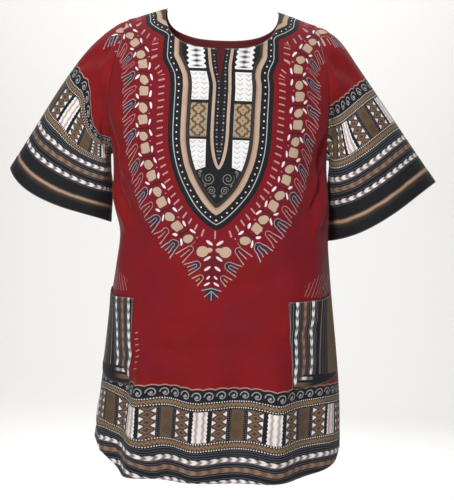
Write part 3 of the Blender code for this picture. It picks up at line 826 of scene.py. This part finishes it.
def paint_foot(cloth, side, down):
    """Foot of the ring: two buds, a stem of paired petals, side sprigs and a leaf."""
    foot = Spot(side, down)
    cloth.paint((1.0 - foot.oval((0, 447), (22, 34)).fade(0.5, 1.0)) * 0.7, linear(84, 10, 28))
    paint_sprigs(cloth, side, down, (
        ((35, 408), (0.74, 0.67), 25, 0.034, 5.0, linear(92, 16, 28), PINK),
        ((20, 434), (0.90, 0.44), 21, 0.026, 6.0, NAVY, SILVER),
        ((14.5, 454), (0.78, 0.62), 14, 0.05, 4.2, linear(92, 16, 28), linear(188, 156, 140)),
    ))
    bud = foot.oval((18.6, 415), (9.6, 8.8)) & foot.oval((10.5, 413), (8.2, 4.2), 12)
    cloth.paint(bud < 1.22, BUD_EDGE)
    cloth.paint(bud < 1, TAN)
    paint_petals(cloth, foot, (
        ((8.5, 400.5), (6.4, 2.3), -34), ((9.6, 426), (6.5, 2.0), 33),
        ((8.2, 442), (6.0, 2.1), 36), ((6, 456.5), (3.8, 1.6), 45), ((7.6, 467), (5.4, 1.7), 30),
    ), linear(236, 208, 210))
    cloth.paint((side < 1.2) & down.between(381, 394), PINK)
    leaf = down.between(474, 496) & (down + side * 1.5 < 496) & (side < 13.5)
    cloth.paint(leaf, NAVY)
    for top, slope, half, reach in ((473.5, 0.25, 0.8, 16), (478, 0.85, 0.9, 11.5)):
        cloth.paint((down - top - side * slope).between(-half, half) & (side < reach), SILVER)
    cloth.paint((side < 0.75) & down.between(478, 493), SILVER)


def paint_blocks(cloth, side, down, depth, drift):
    """White blocks with smudges and chevrons, and a brown one with flowers in rows."""
    rows = cloth.stripes(down, (
        (0, CHARCOAL), (66, WHITE), (116, CHARCOAL), (120.5, WHITE), (168.5, CHARCOAL),
        (174, linear(122, 104, 82)), (229, CHARCOAL), (233, WHITE), (330, CHARCOAL),
    ))
    inner_side = (side > 36) * 2.0 - 1.0
    edge = side + (down + drift * 0.5).zigzag(9.4) * inner_side * 2.3 * (down < 117)
    above_foot = down < 271 + side * 0.36
    block = (depth < -27.5) & edge.between(21.5, 50.5) & above_foot
    cloth.paint(block, rows)
    eye = abs(side - 35.5) / 14 + abs((down - 94).repeated(9.4)) / 5.6
    smudge = (1.0 - eye.fade(0.25, 0.95)) & down.between(70, 114)
    cloth.paint(smudge & (side < 50) & (side > 22) & block, linear(52, 54, 56))
    column = abs(abs(side - 36.3) - 7.2)
    chevron = (down + column * 0.75).repeated(8.0).between(-0.6, 0.6) & (column < 5)
    marked = down.between(121, 168) | down.between(234, 284)
    cloth.paint(chevron & marked & block * 0.75, linear(110, 110, 112))
    flowered = down.between(174.5, 228.5) & block
    cross = abs(side - 36)
    for at_side, shift in ((cross, 184), (cross - 12.5, 192.8)):
        cell = Spot(at_side, (down - shift).repeated(17.5))
        flower = cell.oval((0, 0), (7.4, 3.6)) & cell.oval((0, 0), (3.6, 7.4))
        cloth.paint(flowered & (flower < 1.4), OLIVE)
        cloth.paint(flowered & (flower < 1.05), linear(164, 142, 112))
        cloth.paint(flowered & (cell.distance() < 1.3), OLIVE)
    cloth.paint(flowered & (cross > 12.8) * 0.8, SILVER)
    return above_foot


def paint_scrolls(cloth, side, down, point):
    """Spirals and small diamonds in the point of the neck ornament."""
    for x, y, size, hand in ((15.5, 297, 10.5, 1), (10.5, 317, 7.0, -1), (33, 293, 5.0, -1)):
        gone, fell = side - x, down - y
        reach = Spot(gone, fell).distance()
        turn = fell.worked("ARCTAN2", gone) * (hand * size * 0.5 / (2 * math.pi))
        arm = (reach + turn).repeated(size * 0.5).between(-0.7, 0.7)
        cloth.paint(arm & (reach < size) & point, SCROLL_GREY)
    for x, y in ((29, 286), (21.5, 309), (5.5, 325)):
        corner = abs(side - x) + abs(down - y)
        cloth.paint((corner < 3.2) & point * 0.8, SCROLL_GREY)


def paint_placket(cloth, side, down, depth, line_at, sway):
    """Beaded placket down the middle, narrowing to a point, and the tan band round it all."""
    share = down.fade(220, 282.5)
    width = (1.0 - share * share).worked("POWER", 0.6) * 15
    p = side + 15.0 - width
    over = (down < 282.5) & (depth < -16)
    cloth.paint((p < 20.5) & (down < 286), CHARCOAL)
    edging = p.between(10, 15) & over
    cloth.paint(edging, TAN)
    cloth.paint((Spot(p - 5, down.repeated(11.5)).distance() < 1.4) & over, SILVER)
    cloth.paint((Spot(p - 5, (down - 5.75).repeated(11.5)).distance() < 0.75) & over * 0.6, SILVER)
    band = (depth + sway * 0.3).between(-21.4, -12.5) & (p > 15)
    cloth.paint(band, TAN)
    cloth.paint(band & ((1.0 - (depth + 21.4).fade(0.5, 4.0)) * 0.6), linear(132, 98, 84))
    grain = Spot((line_at + depth * 0.5).repeated(2.6), depth.repeated(2.2)).distance() < 0.6
    cloth.paint((band | edging) & grain * 0.35, BROWN)
    cloth.paint(depth.between(-26.7, -21.4) & (p > 15), linear(52, 44, 40))


def paint_sprays(cloth, out, down, drift, sway):
    """Sprays of strokes above the pockets, and ticks beside the right one."""
    side = abs(out)
    slope = (down - 478) * 0.45
    fan = (out + slope * (out > 0) - slope * (out < 0) + drift).repeated(7.0)
    zone = down.between(446, 484) & (down > 560 - side * 0.62) & (side > 152)
    cloth.paint(fan.between(-0.55, 0.55) & zone * 0.75, PINK)
    blot = Spot((side - 215).repeated(9.0), (down + side * 0.7).repeated(13.0))
    blot = blot.oval((0, 0), (2.6, 5.2), 24)
    zone = down.between(398, 482) & (side > 196) & (down > 640 - side * 1.05)
    cloth.paint((blot < 1) & zone, NAVY)
    cloth.paint(blot.between(0.8, 1.0) & zone * 0.8, SILVER)
    tick = (down + drift + out * 0.3).repeated(9.5).between(-0.7, 0.7)
    beside_pocket = (out + sway).between(-131, -124.5) & down.between(546, 622) * 0.9
    cloth.paint(tick & beside_pocket, SILVER)


def paint_upper(cloth):
    """Print of the front above its border."""
    out, down = cloth.places("cut")
    line_at, line_out = cloth.places("yoke")
    ring_at, ring_out = cloth.places("ring")
    drift, sway = cloth.noise(15, 1)
    drift, sway = drift * 4.4 - 2.2, sway * 4.4 - 2.2
    side = abs(out)

    # Cloudy dye, deeper and more crimson round the ring
    clouds, _ = cloth.noise(75, 3)
    cloth.paint(clouds.fade(0.42, 0.68) * 0.45, linear(108, 6, 34))
    cloth.paint((1.0 - abs(ring_out + 3).fade(12, 30)) * 0.45, linear(112, 12, 36))
    paint_ring(cloth, ring_at - RING_LENGTH + drift, ring_out + sway, sway + drift)
    paint_foot(cloth, abs(out + 2.2), down)

    # Dashes round the neck ornament, its beaded edge, and what fills it
    dash = (line_at - line_out * 0.2).repeated(DASH_STEP).between(-1.15, 1.15)
    cloth.paint(dash & (line_out + drift).between(17.5, 28) & (side > 9.5), PINK)
    cloth.paint(line_out < 8.6, CHARCOAL)
    cloth.paint(line_out.between(-0.8, 0.6), linear(184, 184, 188))
    dots = Spot(line_at.repeated(DASH_STEP), line_out + 5.8)
    cloth.paint(dots.oval((0, 0), (1.3, 1.2)) < 1, WHITE)
    above_foot = paint_blocks(cloth, side, down, line_out, drift)
    paint_scrolls(cloth, side, down, (line_out < -29) & (above_foot < 0.5))
    paint_placket(cloth, side, down, line_out, line_at, sway)
    paint_sprays(cloth, out, down, drift, sway)
    return out, down


cloth = Cloth("front print", RED)
out, down = paint_upper(cloth)
edge, _ = cloth.places("edge")
front_print = cloth.finish(out, down, edge)
cloth = Cloth("border print", RED)
out, down = cloth.places("cut")
drift, sway = cloth.noise(24, 2)
paint_border(cloth, out + drift * 2.4 - 1.2, down + sway * 2.4 - (BORDER_TOP + 1.2), -12)
edge, _ = cloth.places("edge")
border_print = cloth.finish(out, down, edge)
cloth = Cloth("reverse of the cloth", linear(112, 44, 48))
out, down = cloth.places("cut")
cloth_reverse = cloth.finish(out, down)


def panel_line(columns, rows, front):
    """Points and outward normals along a line of a panel, given by its columns and rows."""
    folds, creases = (FRONT_FOLDS, FRONT_CREASES) if front else (BACK_FOLDS, BACK_CREASES)
    columns, rows = np.broadcast_arrays(np.asarray(columns, float), np.asarray(rows, float))
    points, normals = [], []
    for column, row in zip(columns, rows):
        order = 1 if front else -1
        around = column + np.array([-0.012, 0, 0.012]) * order
        beside = row + np.array([-0.12, 0, 0.12])
        grid, outward, _, _ = body_panel(around, beside, front, folds, creases)
        if front:
            open_slit(grid, around, beside, 1 if column > 0 else -1)
        points.append(grid[1, 1])
        normals.append(outward[1, 1])
    return np.array(points), np.array(normals)


# Step of the stitches, half the size of the thread that shows, and its height above the cloth
STITCH_STEP, STITCH_SIZE, STITCH_RISE = 0.0034, (0.0012, 0.00024, 0.00016), 0.00012


def read_line(table, length, at):
    """A line's rows at these distances along it."""
    return np.stack([np.interp(at, length, table[:, k]) for k in range(3)], axis=-1)


def stitches(name, lines):
    """Threads that lie on the cloth along these lines, at an even step."""
    mesh = bmesh.new()
    for points, normals in lines:
        steps = np.linalg.norm(np.diff(points, axis=0), axis=1)
        length = np.concatenate([[0], np.cumsum(steps)])
        at = np.arange(STITCH_STEP / 2, length[-1], STITCH_STEP)
        runs = read_line(points, length, at + 0.001) - read_line(points, length, at - 0.001)
        places, ups = read_line(points, length, at), read_line(normals, length, at)
        for place, run, up in zip(places, runs, ups):
            run, up = Vector(run).normalized(), Vector(up).normalized()
            axes = [axis * half for axis, half in zip((run, up.cross(run), up), STITCH_SIZE)]
            frame = Matrix(axes).transposed().to_4x4()
            frame.translation = Vector(place) + up * (CLOTH / 2 + STITCH_RISE)
            bmesh.ops.create_icosphere(mesh, subdivisions=1, radius=1, matrix=frame)
    piece = linked_piece(name, mesh)
    piece.data.materials.append(thread)
    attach(piece, "root")
    return piece


cloth = Cloth("sewing thread", linear(44, 34, 38))
twist, _ = cloth.noise(0.6, 2)
cloth.paint(twist.fade(0.3, 0.7) * 0.5, linear(96, 84, 84))
cloth.connect(twist, 0.5, 0.0001, twist * 0.2 + 0.5)
thread = cloth.material

BORDER_START = -0.614
front = made_up(sewn("front_cloth", [front_half(-1), front_half(1)]),
                [front_print, border_print], cloth_reverse)
for face in front.data.polygons:
    if np.mean([front.data.vertices[k].co.z for k in face.vertices]) < BORDER_START:
        face.material_index = 1
# Rows and columns of the stitching: round the neck, along the hem, the vents and the slit
NECK_LINE, HEM_LINE, VENT_LINE, SLIT_LINE = 0.32, 35.2, 0.965, 0.012
half_neck = np.linspace(0.02, 0.595, 60)
hem_columns = np.linspace(-0.985, 0.985, 110)
vent_rows = np.linspace(ROWS - VENT_ROWS, HEM_LINE, 12)
slit_rows = np.linspace(NECK_LINE, 4.6, 14)
front_sewing = stitches("front_stitches", [panel_line(*line, True) for line in (
    (half_neck, NECK_LINE), (-half_neck, NECK_LINE),
    (SLIT_LINE, slit_rows), (-SLIT_LINE, slit_rows), (np.linspace(-0.10, 0.10, 16), 5.08),
    (hem_columns, HEM_LINE), (VENT_LINE, vent_rows), (-VENT_LINE, vent_rows),
)])
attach(front, "root")
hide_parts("front")


# Back panel
# The same printed cotton in one piece, cut with a shallow neck. It is plain above its border.
BACK_FOLDS = in_metres(
    (-150, -800, -110, -360, 12, 26),
    (-85, -800, -60, -330, -11, 26),
    (-25, -800, -12, -420, 9, 26),
    (40, -800, 30, -350, -10, 28),
    (105, -800, 80, -380, 11, 26),
    (170, -800, 140, -330, -10, 26),
    (-200, -150, -120, -300, -7, 22),
    (200, -150, 120, -300, -7, 22),
)
BACK_CREASES = in_metres(
    (-236, -270, -160, -330, -7, 10),
    (-238, -300, -176, -372, 4.2, 10),
    (-232, -110, -208, -270, -8, 13),
    (236, -268, 160, -336, -7, 10),
    (238, -296, 180, -362, 4.2, 10),
    (230, -100, 206, -268, -8.5, 13),
    (-60, -30, -16, -120, 2.8, 11),
    (70, -30, 26, -130, 2.8, 11),
    (-120, -150, 20, -185, -2.6, 14),
    (140, -170, 40, -205, -2.4, 14),
    (-150, -520, -40, -545, -3, 12),
    (50, -560, 150, -530, -3, 13),
    (-90, -600, 10, -620, 2.6, 12),
)


def back_panel():
    """The whole back, whose columns run from its left side to its right."""
    columns = np.linspace(1, -1, 151)
    rows = np.concatenate([
        np.linspace(0, ARMHOLE_ROWS, 71),
        np.linspace(ARMHOLE_ROWS, ROWS, 136)[1:],
    ])
    points, _, out, down = body_panel(columns, rows, False, BACK_FOLDS, BACK_CREASES)
    return cloth_grid("back", points, {"cut": (out, down), "edge": edge_places(columns, rows)})


back = made_up(sewn("back_cloth", [back_panel()]), [border_print], cloth_reverse)
back_sewing = stitches("back_stitches", [panel_line(*line, False) for line in (
    (np.linspace(0.595, -0.595, 100), NECK_LINE * 0.8), (-hem_columns, HEM_LINE),
    (VENT_LINE, vent_rows), (-VENT_LINE, vent_rows),
)])
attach(back, "root")
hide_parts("back")


# Sleeves
# Wide straight sleeves of the border print, each one piece closed by a seam under the arm.
SLEEVE_POWER, SLEEVE_BLEND = 2.15, 0.55
SLEEVE_LENGTH = 215
TOP_X, TOP_Z, UNDER_X, UNDER_Z, HALF_DEPTH, MIDDLE_Y = range(1, 7)
SLEEVES = {
    -1: np.array([
        # share of the length, top x and height, under x and height, half depth, middle y
        (0.00, 0.160, -0.022, 0.178, -0.250, 0.070, -0.006),
        (0.06, 0.178, -0.030, 0.1835, -0.2495, 0.070, -0.004),
        (0.15, 0.202, -0.047, 0.1850, -0.2570, 0.068, 0.000),
        (0.30, 0.234, -0.080, 0.1840, -0.279, 0.066, 0.004),
        (0.50, 0.273, -0.136, 0.1830, -0.305, 0.065, 0.008),
        (0.75, 0.316, -0.209, 0.1830, -0.337, 0.066, 0.011),
        (1.00, 0.3575, -0.280, 0.1845, -0.369, 0.068, 0.013),
    ]),
    1: np.array([
        (0.00, 0.160, -0.022, 0.185, -0.250, 0.070, -0.006),
        (0.06, 0.178, -0.027, 0.1905, -0.2495, 0.070, -0.004),
        (0.15, 0.203, -0.045, 0.1935, -0.2570, 0.068, 0.000),
        (0.30, 0.235, -0.085, 0.1935, -0.279, 0.066, 0.004),
        (0.50, 0.279, -0.143, 0.1950, -0.311, 0.066, 0.008),
        (0.75, 0.329, -0.211, 0.1980, -0.350, 0.067, 0.011),
        (1.00, 0.380, -0.280, 0.2010, -0.389, 0.069, 0.013),
    ]),
}
SLEEVE_HEMS = {-1: (0.019, 0.6), 1: (0.011, -0.9)}
UNDERSIDE_SHIFT = 0.0022
TOP_COLUMN, SLEEVE_RADIUS = 56, 75
SLEEVE_FOLDS = {
    # across is in degrees round the sleeve, down is the share of its length
    -1: (
        Fold(118.0, 0.04, 92.0, 0.62, -0.009, 14.0),
        Fold(62.0, 0.10, 58.0, 0.50, -0.005, 14.0),
        Fold(135.0, 0.35, 128.0, 1.00, 0.006, 15.0),
        Fold(262.0, 0.08, 255.0, 0.80, -0.007, 16.0),
        Fold(300.0, 0.30, 296.0, 1.00, 0.006, 16.0),
    ),
    1: (
        Fold(112.0, 0.04, 96.0, 0.55, -0.008, 14.0),
        Fold(70.0, 0.08, 60.0, 0.45, -0.005, 14.0),
        Fold(80.0, 0.45, 76.0, 1.00, 0.006, 16.0),
        Fold(258.0, 0.08, 264.0, 0.80, -0.007, 16.0),
        Fold(305.0, 0.30, 298.0, 1.00, 0.006, 16.0),
    ),
}
SLEEVE_CREASES = {
    # across is in steps of 60 degrees round the sleeve, down is twice the share of its length
    -1: (
        Fold(1.75, 0.10, 1.20, 0.80, -0.0067, 0.13),
        Fold(1.35, 0.05, 0.85, 0.70, 0.0054, 0.12),
        Fold(2.05, 0.20, 1.70, 1.05, 0.0058, 0.14),
        Fold(0.95, 0.10, 0.60, 0.60, -0.0035, 0.11),
        Fold(4.30, 0.10, 4.70, 0.80, -0.0064, 0.14),
        Fold(4.75, 0.10, 5.20, 0.70, 0.0048, 0.13),
    ),
    1: (
        Fold(1.80, 0.10, 1.35, 0.80, -0.0064, 0.13),
        Fold(1.40, 0.05, 1.00, 0.70, 0.0054, 0.12),
        Fold(1.10, 0.05, 0.75, 0.60, -0.0042, 0.10),
        Fold(1.50, 1.00, 1.42, 1.80, 0.0048, 0.16),
        Fold(4.30, 0.10, 4.70, 0.80, -0.0064, 0.14),
        Fold(4.75, 0.10, 5.20, 0.70, 0.0048, 0.13),
    ),
}


def armhole_places(side, turn):
    """Points of the armhole's edge, down the front from the shoulder and up the back."""
    row = ARMHOLE_ROWS * np.where(turn <= math.pi, turn, 2 * math.pi - turn) / math.pi
    column = side + 0 * row
    before = body_point(*panel_place(column, row, True), True)
    behind = body_point(*panel_place(column, row, False), False)
    return np.where((turn <= math.pi)[..., None], before, behind)


def sleeve_place(side, share, turn):
    """Points of a sleeve before its armhole end is fitted. Turn 0 is the top, pi / 2 the front."""
    section = along(SLEEVES[side], share)
    middle = section[..., MIDDLE_Y]
    top = np.stack([side * section[..., TOP_X], middle, section[..., TOP_Z]], axis=-1)
    under = np.stack([side * section[..., UNDER_X], middle, section[..., UNDER_Z]], axis=-1)
    half = (top - under) / 2
    hang = np.stack([-side * half[..., 2], 0 * half[..., 1], side * half[..., 0]], axis=-1)
    hang = hang / np.linalg.norm(hang, axis=-1, keepdims=True)
    hang = hang * np.where(hang[..., 2:] < 0, 1, -1)
    points = (top + under) / 2 + half * rounded(np.cos(turn), SLEEVE_POWER)[..., None]
    points[..., 1] -= section[..., HALF_DEPTH] * rounded(np.sin(turn), SLEEVE_POWER)
    drop, lean = SLEEVE_HEMS[side]
    fall = drop * np.sin(turn) ** 2 * (1 + lean * np.cos(turn)) * share ** 2
    return points + hang * fall[..., None], hang


def sleeve_turns(side):
    """Angles round the sleeve, from the seam under the arm and back to it."""
    turns = np.linspace(-math.pi, math.pi, 113)
    return turns if side < 0 else turns[::-1]


def sleeve_points(side, turn, share):
    """Points of the finished sleeve, sewn to the armhole, with its folds, seams and hem."""
    whole = turn % (2 * math.pi)
    points, _ = sleeve_place(side, share, whole)
    start, _ = sleeve_place(side, 0 * share, whole)
    keep = 1 - ease(share / SLEEVE_BLEND)
    points = points + (armhole_places(side, whole) - start) * keep[..., None]
    degrees, free = np.degrees(whole), ease(share / 0.05)
    rise = fold_rise(SLEEVE_FOLDS[side], degrees, share, LONG_ENDS, 60.0)
    rise = rise + fold_rise(SLEEVE_CREASES[side], degrees / 60, share * 2, SHORT_ENDS) * free
    rise = rise * ease(share / 0.08) + seam_puff(share * SLEEVE_LENGTH)
    in_hem = ease((HEM_TURN - (1 - share) * SLEEVE_LENGTH) / HEM_STEP)
    rise = rise + HEM_THICKNESS * in_hem + seam_puff((math.pi - np.abs(turn)) * SLEEVE_RADIUS)
    points = points + normals_of(points, True) * rise[..., None]
    clear = ease((share - 0.3) / 0.2) * ease(-np.cos(turn) / 0.8)
    points[..., 0] -= side * UNDERSIDE_SHIFT * clear
    return points


def sleeve_ring(side, share):
    """Points and outward normals along a ring of the sleeve."""
    turn, shares = np.meshgrid(sleeve_turns(side), share + np.array([-0.02, 0, 0.02]))
    points = sleeve_points(side, turn, shares)
    return points[1], normals_of(points, True)[1]


def sleeve_tube(side):
    """A whole sleeve, with its places round it and above its hem."""
    turn, share = np.meshgrid(sleeve_turns(side), np.linspace(0, 1, 61))
    points = sleeve_points(side, turn, share)
    steps = np.linalg.norm(np.diff(points, axis=1), axis=-1)
    around = np.concatenate([0 * share[:, :1], np.cumsum(steps, axis=1)], axis=1)
    around = (around - around[:, TOP_COLUMN, None]) * (1 if side < 0 else -1)
    _, hang = sleeve_place(side, 0 * share + 1, turn % (2 * math.pi))
    above = 1000 * np.sum((points[-1:] - points) * hang, axis=-1)
    if side < 0:
        tucked = ease((np.degrees(np.abs(turn)) - 62) / 72)
        above = above * (1 + tucked * (0.19 + 0.5 * ease((above - 78) / 60)))
    around = 1000 * around + (58.5 if side > 0 else 0)
    return cloth_grid("sleeve", points, {"cut": (around, above)})


SLEEVE_BAND = 214
cloth = Cloth("sleeve print", RED)
around, above = cloth.places("cut")
drift, sway = cloth.noise(24, 2)
fall = (SLEEVE_BAND - above) * 0.965
paint_border(cloth, around + drift * 2.4 - 1.2, fall + sway * 2.4 - 1.2, 90, 21.5)
edge = above + sway * 4 - 2
cloth.paint((1.0 - abs(edge - 25.5).fade(0.5, 8.5)) * 0.5, linear(96, 80, 56))
cloth.paint((1.0 - abs(edge - 27.5).fade(0.6, 4.0)) * 0.95, linear(180, 148, 124))
# End of the ring of flowers, over the shoulder seam
paint_sprigs(cloth, around, above, (
    ((53, 301), (0.60, -0.80), 17, 0.028, 4.8, linear(112, 18, 24), PINK),
    ((44, 296), (0.68, -0.73), 25, 0.028, 6.4, NAVY, SILVER),
    ((96, 311), (0.67, -0.74), 24, 0.028, 4.8, linear(112, 18, 24), PINK),
    ((84, 303), (0.45, -0.89), 22, 0.028, 5.6, NAVY, SILVER),
))
spot = Spot(around, above)
for middle, size, degrees in (((41, 305), (8.0, 6.4), 30), ((86, 321), (9.0, 7.0), 10)):
    bud = spot.oval(middle, size, degrees)
    cloth.paint(bud < 1.25, linear(96, 26, 30))
    cloth.paint(bud < 1, TAN)
paint_petals(cloth, spot, (((46, 294), (5.4, 1.8), 50), ((73, 312), (5.6, 2.0), 70)), WHITE)
sleeve_print = cloth.finish(around, above, above)
for side, name in ((-1, "sleeve_right"), (1, "sleeve_left")):
    sleeve = made_up(sewn(name + "_cloth", [sleeve_tube(side)]), [sleeve_print], cloth_reverse)
    sewing = stitches(name + "_stitches", [sleeve_ring(side, 1 - 18 / SLEEVE_LENGTH)])
    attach(sleeve, "root")
    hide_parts(name)


# Patch pockets
# Two patches of the striped border print, turned under and sewn on over the side fronts.
POCKETS = {-1: (7, 15), 1: (6, 14)}
POCKET_TOP, POCKET_FOOT, POCKET_INSET = 10, 16, 0.10
POCKET_WIDTH, POCKET_HEIGHT = 130, 140


def pocket_points(side, across, fall):
    """Points, outward normals and flat places of a pocket's grid. Shares run from 0 to 1."""
    first, last = POCKETS[side]
    first = first + (-0.25 if side < 0 else POCKET_INSET)
    columns = mix(first, last - POCKET_INSET, across if side > 0 else 1 - across) * side / 15
    rows = ARMHOLE_ROWS + mix(POCKET_TOP + POCKET_INSET, POCKET_FOOT - POCKET_INSET, fall)
    points, outward, out, down = body_panel(columns, rows, True, FRONT_FOLDS, FRONT_CREASES)
    across, fall = np.meshgrid(across, fall)
    gape = 0.0020 * np.sin(np.pi * across) * ease(1 - fall / 0.35)
    fold = 0.0003 * ease((0.13 - fall) / 0.02) + 0.0004 * ease(fall / 0.02)
    sides = np.minimum(across, 1 - across) * POCKET_WIDTH
    rim = np.minimum(sides, (1 - fall) * POCKET_HEIGHT)
    puff = seam_puff(np.maximum(rim - 3, 0)) * 0.7
    return points + outward * (0.0009 + gape + fold + puff)[..., None], outward, out, down


def pocket_patch(side):
    """A whole pocket, with its places on the front's cloth."""
    even = np.linspace(0, 1, 57)
    points, _, out, down = pocket_points(side, even, even)
    across, fall = np.meshgrid(even, even)
    sides = np.minimum(across, 1 - across) * POCKET_WIDTH
    edge = np.minimum(sides, np.minimum(fall, 1 - fall) * POCKET_HEIGHT)
    return cloth_grid("pocket", points, {"cut": (out, down), "edge": (edge, 0 * edge)})


def pocket_seams(side):
    """Lines of stitches: the hem of the mouth, and the two sides and the foot."""
    even, near = np.linspace(0.02, 0.98, 40), np.array([-0.02, 0, 0.02])
    lines = []
    for fall in (0.125, 0.982):
        points, normals, _, _ = pocket_points(side, even, fall + near * 0.5)
        lines.append((points[1], normals[1]))
    for across in (0.018, 0.982):
        points, normals, _, _ = pocket_points(side, across + near * 0.5, even)
        lines.append((points[:, 1], normals[:, 1]))
    return lines


POCKET_STRIPES = (
    (0, CHARCOAL), (13.4, ASH), (18.6, CHARCOAL), (24, linear(74, 60, 52)), (27, CHARCOAL),
    (28, BROWN), (33.5, CHARCOAL), (34.5, linear(74, 60, 52)), (37.5, CHARCOAL), (43.4, ASH),
    (48.6, CHARCOAL), (64, linear(142, 118, 104)), (66.4, CHARCOAL), (86, linear(104, 80, 54)),
    (125, CHARCOAL), (140, CHARCOAL),
)
cloth = Cloth("pocket print", CHARCOAL)
out, down = cloth.places("cut")
drift, sway = cloth.noise(24, 2)
inward = abs(out + 3.25) - 124.25 + drift * 1.6 - 0.8
cloth.paint(1.0, cloth.stripes(inward, POCKET_STRIPES))
paint_arrows(cloth, down, inward, (
    (13.4, 18.6, 15.5, WHITE), (43.4, 48.6, 15.5, WHITE), (28, 33.5, 15.5, linear(140, 114, 96)),
), 1.2, 6.4)
paint_lines(cloth, inward, (5.5, 9.5, 21.4, 40.6, 51.4, 54.6, 73, 81), linear(112, 116, 126))
cloth.paint(Spot(inward - 1.4, down.repeated(4.0)).distance() < 1.0, WHITE)
foot = (inward > 640.0 - down) & (down > 608)
cloth.paint(foot, cloth.stripes(down + sway, (
    (600, CHARCOAL), (612, ASH), (617, CHARCOAL), (621, BROWN), (628, CHARCOAL), (700, CHARCOAL),
)))
arrow = 1.0 - abs(out.repeated(15.5)).fade(2.2, 6.4)
cloth.paint(arrow & foot & (down + sway).between(612, 617), WHITE)
cloth.paint(foot & inward.fade(30, 52), CHARCOAL)
edge, _ = cloth.places("edge")
pocket_print = cloth.finish(out, down, edge)
for side, name in ((-1, "pocket_right"), (1, "pocket_left")):
    pocket = made_up(sewn(name + "_cloth", [pocket_patch(side)]), [pocket_print], cloth_reverse)
    sewing = stitches(name + "_stitches", pocket_seams(side))
    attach(pocket, "root")
    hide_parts(name)


# Floor, light and camera
# A pale studio floor that curves up into the backdrop, with large soft lamps.
FLOOR_FRONT, FLOOR_RUN, FLOOR_BEND, FLOOR_HEIGHT = -4.4, 8.0, 1.4, -1.2
FLOOR_LENGTH, FLOOR_HALF_WIDTH, WALL_STRETCH = 11.0, 7, 3


def cyclorama():
    """A floor that bends up into a wall far behind the shirt."""
    mesh = bmesh.new()
    bmesh.ops.create_grid(mesh, x_segments=2, y_segments=40, size=1)
    for vert in mesh.verts:
        run = (vert.co.y + 1) / 2 * FLOOR_LENGTH
        bend = min(max((run - FLOOR_RUN) / FLOOR_BEND, 0), math.pi / 2)
        beyond = max(run - FLOOR_RUN - FLOOR_BEND * math.pi / 2, 0)
        vert.co = (
            vert.co.x * FLOOR_HALF_WIDTH,
            FLOOR_FRONT + min(run, FLOOR_RUN) + FLOOR_BEND * math.sin(bend),
            FLOOR_HEIGHT + FLOOR_BEND * (1 - math.cos(bend)) + beyond * WALL_STRETCH,
        )
    floor = linked_piece("floor", mesh)
    material = bpy.data.materials.new("pale floor")
    material.use_nodes = True
    shader = material.node_tree.nodes["Principled BSDF"]
    shader.inputs["Base Color"].default_value = linear(236, 235, 233)
    shader.inputs["Roughness"].default_value = 0.9
    floor.data.materials.append(material)
    return floor


LAMPS = (
    # name, place, aimed at, size, watts
    ("key", (-0.7, -2.3, 0.9), (0, 0, -0.4), 0.45, 64),
    ("fill", (0.9, -2.6, 0.0), (0, 0, -0.4), 0.8, 10),
    ("above", (0.3, 0.1, 2.0), (0, 0, -0.4), 1.4, 14),
    ("backdrop", (0.0, 2.0, 3.0), (0, 5.0, -0.7), 3.5, 170),
    ("behind", (0.7, 2.6, 0.9), (0, 0, -0.4), 1.2, 22),
)
stage = [cyclorama()]
for name, place, aim, size, watts in LAMPS:
    data = bpy.data.lights.new(name, "AREA")
    data.size, data.energy = size, watts
    lamp = bpy.data.objects.new(name, data)
    bpy.context.scene.collection.objects.link(lamp)
    lamp.location = place
    lamp.rotation_euler = (Vector(aim) - Vector(place)).to_track_quat("-Z", "Y").to_euler()
    stage.append(lamp)
world = bpy.data.worlds.new("studio")
world.use_nodes = True
background = world.node_tree.nodes["Background"]
background.inputs["Color"].default_value = (1, 1, 1, 1)
background.inputs["Strength"].default_value = 0.12
bpy.context.scene.world = world

CAMERA_PLACE, CAMERA_ROLL, CAMERA_LENS = (0.0225, -2.0, -0.411), 2.0, 83.24
data = bpy.data.cameras.new("camera")
data.sensor_fit, data.sensor_height, data.lens = "VERTICAL", 36, CAMERA_LENS
camera = bpy.data.objects.new("camera", data)
bpy.context.scene.collection.objects.link(camera)
camera.location = CAMERA_PLACE
level = Matrix.Rotation(math.radians(90), 4, "X")
camera.rotation_euler = (level @ Matrix.Rotation(math.radians(CAMERA_ROLL), 4, "Z")).to_euler()
bpy.context.scene.camera = camera
bpy.context.scene.view_settings.view_transform = "Standard"
